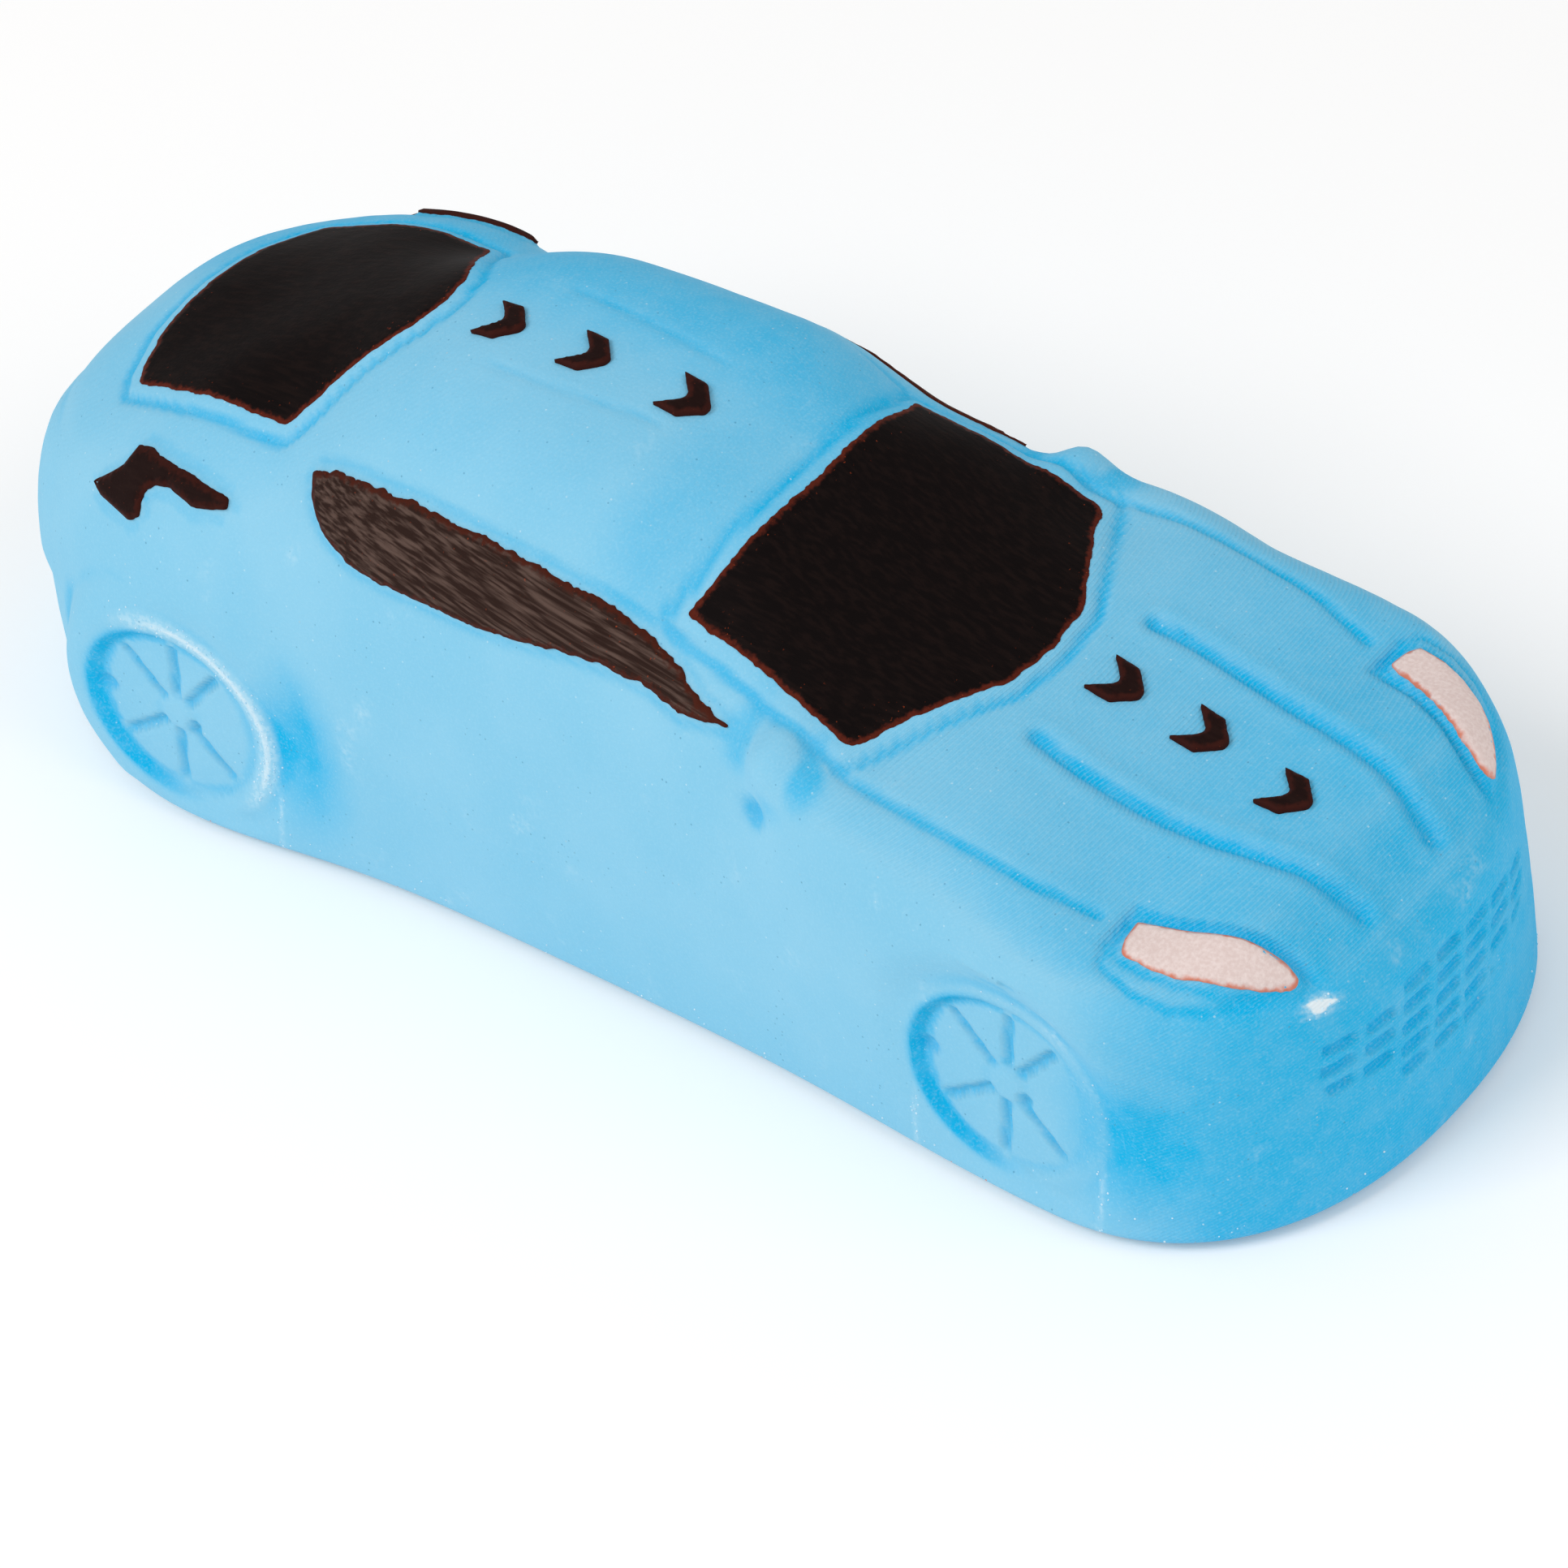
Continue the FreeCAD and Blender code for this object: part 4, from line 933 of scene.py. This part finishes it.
    def drag_lines(self) -> Array:
        """Upright lines of crumbs dragged down the flanks beside the wheels, from 0 to 1."""
        lines = sum(bump(self.y - at + self.drag_lean * self.z, 0.3) for at in self.drags)
        return lines * fade(6.0, 9.0, self.z) * self.by_wheels

    def crumbs(self) -> Array:
        """How thickly loose crumbs lie, from 0 to 1."""
        foot = 0.05 * fade(1.5, 5.0, self.z)
        thick = 0.8 * self.lit_worn_lips() + 0.7 * self.drag_lines() + self.chip() + foot
        across, along, lowest = self.room
        inside = (self.beside < across) & (np.abs(self.y) < along) & (self.z > lowest)
        return np.clip(thick, 0, 1) * inside


@dataclass
class CastBody:
    """The one-piece cast body with all its relief."""

    form: BodyForm
    relief: Relief
    finish: Finish
    wall: float = 3.0
    fine: float = 0.38
    coarse: float = 0.68
    wheel_margin: float = 2.5
    nose_start: float = -58.0
    flank_share: float = 0.37
    flank_rings: int = 58
    top_rings: int = 78
    inner_rings: int = 9
    inner_start: int = 18
    spine_rings: int = 4
    half_limit: float = 25.87
    end_samples: int = 1400
    side_samples: int = 1800
    ray_samples: int = 420

    def half_outline(self) -> Array:
        """Points of the plan's right half, from the tail's tip to the nose's tip."""
        form = self.form
        quarter = np.linspace(0.0, math.pi / 2, self.end_samples)
        tail = form.tail_centre + form.tail_reach * np.sin(quarter[::-1]) ** (2 / form.tail_power)
        side = np.linspace(form.tail_centre, form.nose_centre, self.side_samples)[1:-1]
        nose = form.nose_centre - form.nose_reach * np.sin(quarter) ** (2 / form.nose_power)
        y = np.concatenate([tail, side, nose])
        x = form.half_width(y)
        x[0] = x[-1] = 0.0
        middle = (y[1:] + y[:-1]) / 2
        dense = middle < self.nose_start
        for wheel in self.relief.wheels:
            dense |= np.abs(middle - wheel.along) < wheel.radius + self.wheel_margin
        rays = np.hypot(np.diff(x), np.diff(y)) / np.where(dense, self.fine, self.coarse)
        count = int(round(np.sum(rays)))
        return walked(np.stack([x, y], -1), rays, np.linspace(0.0, 1.0, count + 1))

    def half_grid(self) -> Array:
        """Points of the plain form's right half: rays by rings, from rim to spine."""
        form = self.form
        shares = np.concatenate([
            np.linspace(0.0, self.flank_share, self.flank_rings, endpoint=False),
            np.linspace(self.flank_share, 1.0, self.top_rings),
        ])
        inward = np.sin(np.linspace(math.pi / 2, 0.0, self.ray_samples))
        rows = []
        for x, y in self.half_outline():
            anchor = min(max(y, form.nose_centre), form.tail_centre)
            px, py = x * inward, anchor + (y - anchor) * inward
            pz = form.height(px, py)
            pz[0] = form.rim
            line = np.stack([px, py, pz], -1)
            rows.append(walked(line, np.linalg.norm(np.diff(line, axis=0), axis=1), shares))
        return np.array(rows)

    def normals(self, grid: Array) -> Array:
        """Outward unit normals of the whole grid."""
        along = np.roll(grid, -1, 0) - np.roll(grid, 1, 0)
        upward = np.empty_like(grid)
        upward[:, 1:-1] = grid[:, 2:] - grid[:, :-2]
        upward[:, 0] = grid[:, 1] - grid[:, 0]
        upward[:, -1] = grid[:, -1] - grid[:, -2]
        normal = np.cross(upward, along)
        normal = normal / np.maximum(np.linalg.norm(normal, axis=-1, keepdims=True), 1e-12)
        outward = np.sum(normal * grid * np.array([1.0, 1.0, 0.0]), -1) + normal[..., 2] * 20.0
        normal = np.where(np.median(outward) < 0, -normal, normal)
        spine = grid[:, -self.spine_rings :]
        normal[:, -self.spine_rings :] = self.form.slope_normal(spine[..., 0], spine[..., 1])
        return normal

    def inner_layers(self, grid: Array, normal: Array) -> list[Array]:
        """Rings of the hollow inside, from the rim up to the middle."""
        level = np.array([1.0, 1.0, 0.0])
        flat = normal[:, 0] * level
        flat = flat / np.maximum(np.linalg.norm(flat, axis=-1, keepdims=True), 1e-9)
        rim = grid[:, 0]
        layers = [rim - flat * (self.wall - 0.3), rim - flat * self.wall + (0.0, 0.0, 0.4)]
        picks = np.linspace(self.inner_start, grid.shape[1] - 1, self.inner_rings).astype(int)
        return layers + [grid[:, pick] - normal[:, pick] * self.wall for pick in picks]

    def build(self) -> bpy.types.Object:
        """Make the closed body and return it."""
        half = self.half_grid()
        grid = np.concatenate([half, half[-2:0:-1] * np.array([-1.0, 1.0, 1.0])])
        normal = self.normals(grid)
        offset = self.relief.offset(grid, normal)
        outer = grid + normal * offset[..., None]
        outer[..., 0] = np.clip(outer[..., 0], -self.half_limit, self.half_limit)
        outer[..., 2] = np.maximum(outer[..., 2], self.form.rim)
        inner = [layer[:, None] for layer in reversed(self.inner_layers(grid, normal))]
        every = np.concatenate(inner + [outer], 1)
        rays, columns = every.shape[:2]
        index = np.arange(rays * columns).reshape(rays, columns)
        ahead = np.roll(index, -1, 0)
        quads = np.stack([index[:, :-1], index[:, 1:], ahead[:, 1:], ahead[:, :-1]], -1)
        wear = Wear(self.relief, grid, normal, offset)
        values = {
            name: np.pad(value(), ((0, 0), (len(inner), 0)))
            for name, value in (("tint", wear.tint), ("layers", wear.layers),
                                ("bloom_and_highlight", wear.bloom_and_highlight), ("crumbs", wear.crumbs))
        }
        piece = make_object("body_cast", every.reshape(-1, 3), quads.reshape(-1, 4).tolist(),
                            self.finish.build(), values)
        weld(piece)
        return piece


@dataclass
class SurfacePatch:
    """A thin painted or raised piece that lies on the body and follows it.

    Its outline is given in the plan, or for a flank along and up.
    """

    name: str
    outline: Points
    relief: Relief
    flank: Side | None = None
    spacing: float = 0.55
    edge_step: float = 0.16
    edge_round: float = 0.25
    edge_share: float = 0.6
    ragged: float = 0.12
    ragged_steps: Pair = (1.1, 0.32)
    lift: float = 0.1
    sunk: float = 0.35
    smoothing: int = 6
    seed: int = 1

    def border(self) -> Array:
        """The outline, walked in small steps and made ragged."""
        closed = np.array(list(self.outline) + [self.outline[0]])
        points = []
        for start, end in zip(closed, closed[1:]):
            count = max(int(np.linalg.norm(end - start) / self.edge_step), 1)
            points += [start + (end - start) * i / count for i in range(count)]
        points = np.array(points)
        for _ in range(self.smoothing):
            points = (points + (np.roll(points, 1, 0) + np.roll(points, -1, 0)) / 2) / 2
        tangent = np.roll(points, -1, 0) - np.roll(points, 1, 0)
        across = np.stack([tangent[:, 1], -tangent[:, 0]], -1)
        across /= np.linalg.norm(across, axis=1, keepdims=True)
        place = (points[:, 0], points[:, 1], np.zeros(len(points)))
        coarse = ValueNoise(self.seed, self.ragged_steps[0])(*place)
        fine = ValueNoise(self.seed + 50, self.ragged_steps[1])(*place)
        return points + across * ((coarse * 0.6 + fine * 0.4) * self.ragged)[:, None]

    def on_body(self, u: Array, v: Array) -> tuple[Array, Array]:
        """Points and normals of the body with its relief at outline coordinates."""
        form = self.relief.form
        if self.flank is None:
            x, y, z = u, v, form.height(u, v)
        else:
            x, y, z = form.across_at(u, v, self.flank), u, v
        place = np.stack([x, y, z], -1)
        normal = form.slope_normal(x, y)
        return place + normal * self.relief.offset(place, normal)[..., None], normal

    def filled(self, border: Array) -> tuple[Array, list[tuple[int, ...]], list[int]]:
        """Fill the border with triangles on a staggered grid.

        Args:
            border: Points of the ragged outline.

        Returns:
            The points, the triangles, and the points of the border in order.
        """
        (low_u, low_v), (high_u, high_v) = border.min(0), border.max(0)
        u, v = np.meshgrid(np.arange(low_u, high_u, self.spacing),
                           np.arange(low_v, high_v, self.spacing))
        u[1::2] += self.spacing / 2
        keep = inside_depth(u, v, [tuple(p) for p in border]) > self.spacing * 0.45
        points = np.concatenate([border, np.stack([u[keep], v[keep]], -1)])
        rim = len(border)
        edges = [(i, (i + 1) % rim) for i in range(rim)]
        corners, _, triangles, sources, *_ = geometry.delaunay_2d_cdt(
            [Vector(p) for p in points], edges, [], INSIDE_ONLY, 1e-7)
        order = {}
        for i, source in enumerate(sources):
            if min(source, default=rim) < rim:
                order[min(source)] = i
        flat = np.array([tuple(p) for p in corners])
        return flat, [tuple(t) for t in triangles], [order[k] for k in sorted(order)]

    def build(self, finish: bpy.types.Material) -> bpy.types.Object:
        """Make the closed thin piece."""
        border = self.border()
        flat, triangles, loop = self.filled(border)
        u, v = flat.T
        place, normal = self.on_body(u, v)
        depth = inside_depth(u, v, [tuple(p) for p in border])
        depth[loop] = 0.0
        rounded = 1 - np.clip(1 - depth / self.edge_round, 0.0, 1.0) ** 2
        rise = self.lift * (self.edge_share + (1 - self.edge_share) * rounded)
        points = np.concatenate([place + normal * rise[:, None], place - normal * self.sunk])
        count = len(flat)
        faces = triangles + [tuple(i + count for i in reversed(t)) for t in triangles]
        faces += [(a, a + count, b + count, b) for a, b in zip(loop, loop[1:] + loop[:1])]
        values = {"edge": np.pad(depth, (0, count))}
        piece = make_object(self.name, points, faces, finish, values)
        weld(piece)
        return piece


# ---- scattered crumbs


@dataclass
class CrumbScatter:
    """Crumbs strewn over the body by a Geometry Nodes tree."""

    finish: Finish = PaleCrumb()
    per_square_mm: float = 5.0
    smallest: float = 0.035
    largest: float = 0.11
    seed: int = 31

    def tree(self) -> bpy.types.NodeTree:
        """Build the tree that scatters crumbs by the mesh's crumbs attribute."""
        tree = bpy.data.node_groups.new("crumb_scatter", "GeometryNodeTree")
        kit = NodeKit(tree)
        for name, kind, way in (
            ("Geometry", "Geometry", "INPUT"), ("Density", "Float", "INPUT"),
            ("Smallest", "Float", "INPUT"), ("Largest", "Float", "INPUT"), ("Seed", "Int", "INPUT"),
            ("Material", "Material", "INPUT"), ("Geometry", "Geometry", "OUTPUT"),
        ):
            tree.interface.new_socket(name, in_out=way, socket_type=f"NodeSocket{kind}")
        given = kit.add("NodeGroupInput").outputs
        thick = kit.add("GeometryNodeInputNamedAttribute", {"data_type": "FLOAT"}, Name="crumbs")
        density = kit.times(thick.outputs["Attribute"], given["Density"])
        spots = kit.add("GeometryNodeDistributePointsOnFaces", {"distribute_method": "RANDOM"},
                        Mesh=given["Geometry"], Density=density, Seed=given["Seed"])
        crumb = kit.add("GeometryNodeMeshIcoSphere", Radius=1.0, Subdivisions=1)
        size = kit.add("FunctionNodeRandomValue", {"data_type": "FLOAT"},
                       i2=given["Smallest"], i3=given["Largest"], Seed=given["Seed"])
        turn = kit.add("FunctionNodeRandomValue", {"data_type": "FLOAT_VECTOR"},
                       i0=(0.0, 0.0, 0.0), i1=(math.tau,) * 3, Seed=given["Seed"])
        strewn = kit.add("GeometryNodeInstanceOnPoints", Points=spots.outputs["Points"],
                         Instance=crumb.outputs["Mesh"], Rotation=turn.outputs[0],
                         Scale=size.outputs[1])
        real = kit.add("GeometryNodeRealizeInstances", Geometry=strewn.outputs[0])
        dressed = kit.add("GeometryNodeSetMaterial", Geometry=real.outputs[0],
                          Material=given["Material"])
        kit.add("NodeGroupOutput", Geometry=dressed.outputs[0])
        return tree

    def build(self, body: bpy.types.Object) -> bpy.types.Object:
        """Scatter the crumbs over the body and return them as one plain mesh."""
        host = linked("crumb_host", body.data.copy())
        modifier = host.modifiers.new("crumbs", "NODES")
        modifier.node_group = self.tree()
        material = self.finish.build()
        settings = {
            "Density": self.per_square_mm / MM**2, "Smallest": self.smallest * MM,
            "Largest": self.largest * MM, "Seed": self.seed, "Material": material,
        }
        for item in modifier.node_group.interface.items_tree:
            if item.in_out == "INPUT" and item.name in settings:
                modifier[item.identifier] = settings[item.name]
        graph = bpy.context.evaluated_depsgraph_get()
        mesh = bpy.data.meshes.new_from_object(host.evaluated_get(graph))
        host.modifiers.remove(modifier)
        bpy.data.objects.remove(host)
        mesh.name = "body_crumbs"
        mesh.materials.clear()
        mesh.materials.append(material)
        return linked("body_crumbs", mesh)


# ---- painted pieces


@dataclass
class PaintedPieces:
    """Windows, lamps and arrowheads on the cast body."""

    relief: Relief
    glass: Finish = BrushedPaint()
    side_glass: Finish = BrushedPaint(
        name="brushed_dark_paint_streaked", main="#2C1C17", thin="#4A1F14", streak="#66524A",
        streak_share=0.75, streak_stretch=(1.3, 0.04, 1.3), streak_slope=0.2,
    )
    thick: Finish = BrushedPaint(
        name="brushed_dark_paint_thick", main="#1D0D0B", thin="#3A1711", fleck="#6E2E1A",
    )
    lamp: Finish = PaleLampPaint()
    screen: Points = tuple(mirrored((
        (0.0, -12.7), (6.3, -12.4), (12.7, -11.6), (14.5, -11.0), (14.9, -15.8),
        (15.4, -21.0), (15.9, -25.0), (16.2, -27.2), (15.6, -28.0), (13.2, -29.1),
        (9.2, -31.6), (5.0, -34.1), (0.0, -34.8),
    )))
    rear_glass: Points = tuple(mirrored((
        (0.0, 24.6), (3.5, 25.4), (5.8, 27.0), (9.2, 29.9), (12.7, 32.3), (12.9, 35.4),
        (12.6, 43.0), (11.7, 50.6), (10.2, 51.6), (6.0, 52.8), (0.0, 53.0),
    )))
    # how far the paint of the left pane stops short of its top edge
    pane_drop: float = 1.6
    pane_middle: tuple[Sequence[float], Sequence[float]] = (
        (-18.0, 0.0, 20.0, 27.0), (32.5, 36.4, 36.0, 36.6),
    )
    arrowhead: Points = (
        (0.0, -0.05), (0.4, 0.0), (2.05, 1.55), (2.1, 3.85), (0.5, 2.25), (0.0, 2.05),
    )
    arrowhead_tips: Sequence[tuple[str, Pair]] = (
        ("roof_chevron_rear", (-1.0, 15.4)), ("roof_chevron_middle", (-0.8, 6.7)),
        ("roof_chevron_front", (-0.8, -3.3)), ("bonnet_chevron_rear", (0.7, -42.5)),
        ("bonnet_chevron_middle", (1.0, -50.1)), ("bonnet_chevron_front", (-0.5, -58.9)),
    )

    def build(self) -> list[NodePiece]:
        """Make every painted piece, each with its CAD node and its material slot."""
        dark, streaked, pale, thick = (
            finish.build() for finish in (self.glass, self.side_glass, self.lamp, self.thick)
        )
        made = [
            self.paint("windscreen", self.screen, dark, "window_paint", ragged=0.22, seed=3),
            self.paint("rear_window", self.rear_glass, dark, "window_paint", ragged=0.2, seed=4),
        ]
        for side in Side:
            word, number = side.name.lower(), side.value
            head = [(number * x, y) for x, y in self.relief.headlamp]
            made += [
                self.paint(f"side_window_{word}", self.pane(side), streaked, "window_paint",
                           flank=side, ragged=0.25, lift=0.27, seed=10 + number),
                self.paint(f"tail_lamp_{word}", self.relief.tail_lamp, thick, "lamp_brown",
                           flank=side, spacing=0.4, lift=0.27, seed=9 + number),
                self.paint(f"headlamp_{word}", head, pale, "headlamp_paint",
                           spacing=0.4, ragged=0.1, seed=13 + number),
            ]
        return made + self.arrowheads(thick)

    def paint(self, node: str, outline: Points, finish: bpy.types.Material, slot: str,
              ending: str = "paint", **settings: object) -> NodePiece:
        """Make the piece that replaces one node; settings are fields of its SurfacePatch."""
        patch = SurfacePatch(f"{node}_{ending}", outline, self.relief, **settings)
        return patch.build(finish), node, slot

    def pane(self, side: Side) -> list[Pair]:
        """The side window's outline, painted a little lower along its top on the left."""
        drop = self.pane_drop if side is Side.LEFT else 0.0
        return [(y, z - drop * float(ramp(0.5, 1.6, z - np.interp(y, *self.pane_middle))))
                for y, z in self.relief.side_glass]

    def arrowheads(self, dark: bpy.types.Material) -> list[NodePiece]:
        """The raised arrowheads on the roof and bonnet, pointing forward."""
        return [
            self.paint(node, [(x + aside, y + tip) for x, y in mirrored(self.arrowhead)], dark,
                       "chevron_brown", ending="raised", spacing=0.3, edge_step=0.12,
                       ragged=0.08, lift=0.55, smoothing=2, seed=20 + number)
            for number, (node, (aside, tip)) in enumerate(self.arrowhead_tips)
        ]


@dataclass
class RunningGear:
    """Finishes of the hidden chassis, wheels and motor, whose CAD shapes stay."""

    finishes: dict[str, Finish] = field(default_factory=lambda: {
        "chassis_black": MouldedPlastic(name="moulded_abs_black"),
        "wheel_grey": MouldedPlastic(name="moulded_abs_grey", main="#8A8D92", scuff="#A5A8AC",
                                     roughness=0.35),
        "tyre_black": MouldedPlastic(name="moulded_soft_rubber", main="#0D0D0E",
                                     scuff="#1D1D1F", grain_size=0.4, roughness=0.78),
        "case_grey": MouldedPlastic(name="moulded_abs_pale_grey", main="#BEBEB9",
                                    scuff="#D0D0CB"),
        "gear_white": MouldedPlastic(name="moulded_acetal_white", main="#E4E4DC",
                                     scuff="#F0F0EA", roughness=0.4),
        "plated_steel": TurnedSteel(),
        "spring_steel": TurnedSteel(name="blued_spring_steel", main="#5B6470", dull="#414852",
                                    roughness=0.28),
    })

    def dress(self) -> None:
        """Give each CAD node that shows the finish of its material slot."""
        slots = {row["node"]: row["material_slot"] for row in frame["record"]["subparts"]}
        made = {slot: finish.build() for slot, finish in self.finishes.items()}
        for node, piece in frame["nodes"].items():
            finish = made.get(slots.get(node, ""))
            if finish is None:
                continue
            piece.data.materials.clear()
            piece.data.materials.append(finish)
            LOG.info("dressed %s in %s", node, finish.name)


# ---- studio


@dataclass
class Studio:
    """Pale floor, soft lights and the camera; the camera's place is in mm, its turn in degrees."""

    lens: float = 152.5
    sensor: float = 36.0
    eye: Triple = (-284.997, -293.352, 367.29)
    turn: Triple = (47.784, 7.803, -51.519)
    floor_reach: float = 3000.0
    floor_glow: float = 0.08
    sky_colour: tuple[float, float, float, float] = (1.0, 0.99, 0.98, 1.0)
    sky_strength: float = 0.56
    # name, place and size in metres, and power of each light
    lamps: Sequence[tuple[str, Triple, float, float]] = (
        ("key", (-0.62, 0.25, 0.75), 0.45, 4.0), ("fill", (0.1, -0.9, 0.7), 0.8, 2.5),
    )
    lamps_aim: Triple = (0.0, 0.0, 0.02)

    def camera(self) -> None:
        """Place the camera."""
        data = bpy.data.cameras.new("camera")
        data.lens = self.lens
        data.sensor_width = self.sensor
        data.clip_start = 0.01
        camera = linked("camera", data)
        turn = Euler([math.radians(angle) for angle in self.turn]).to_matrix().to_4x4()
        camera.matrix_world = Matrix.Translation(Vector(self.eye) * MM) @ turn
        bpy.context.scene.camera = camera

    def floor(self) -> None:
        """Lay the pale floor, which can be looked through from below."""
        material = bpy.data.materials.new("studio_paper_white")
        material.use_nodes = True
        tree = material.node_tree
        kit = NodeKit(tree)
        paper = kit.fill(tree.nodes["Principled BSDF"], Base_Color="#FFFFFF", Roughness=0.9,
                         Specular_IOR_Level=0.1, Emission_Color="#FFFFFF",
                         Emission_Strength=self.floor_glow)
        below = kit.add("ShaderNodeNewGeometry").outputs["Backfacing"]
        clear = kit.add("ShaderNodeBsdfTransparent")
        either = kit.add("ShaderNodeMixShader", i0=below, i1=paper.outputs[0], i2=clear.outputs[0])
        kit.fill(tree.nodes["Material Output"], Surface=either.outputs[0])
        corners = ((-1, -1, 0), (1, -1, 0), (1, 1, 0), (-1, 1, 0))
        points = np.array(corners) * self.floor_reach
        make_object("studio_floor", points, [(0, 1, 2, 3)], material, smooth=False)

    def light(self) -> None:
        """Set the sky, and soft square lights that look at the car."""
        world = bpy.data.worlds.new("studio_sky")
        world.use_nodes = True
        NodeKit(world.node_tree).fill(world.node_tree.nodes["Background"],
                                      Color=self.sky_colour, Strength=self.sky_strength)
        bpy.context.scene.world = world
        for name, place, size, power in self.lamps:
            data = bpy.data.lights.new(name, "AREA")
            data.size = size
            data.energy = power
            lamp = linked(name, data)
            lamp.location = place
            aim = Vector(self.lamps_aim) - Vector(place)
            lamp.rotation_euler = aim.to_track_quat("-Z", "Y").to_euler()

    def build(self) -> None:
        """Make the whole studio."""
        self.camera()
        self.floor()
        self.light()
        bpy.context.scene.view_settings.view_transform = "Standard"


def hand_over(piece: bpy.types.Object, node: str | None = None) -> None:
    """Attach a piece to the body, and hide the CAD node that it replaces, if any."""
    if node:
        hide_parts(node)
    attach(piece, ROOT)
    LOG.info("%s: %d faces", piece.name, len(piece.data.polygons))


def main() -> None:
    """Build the studio, the body, its painted pieces and the running gear's finishes."""
    logging.basicConfig(level=logging.INFO, format="%(message)s")
    Studio().build()
    form = BodyForm()
    relief = Relief(form)
    body = CastBody(form, relief, ChalkyCasting()).build()
    hand_over(body, "body_shell")
    hand_over(CrumbScatter().build(body))
    for piece, node, slot in PaintedPieces(relief).build():
        hand_over(piece, node)
    RunningGear().dress()
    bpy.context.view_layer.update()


if __name__ == "__main__":
    main()
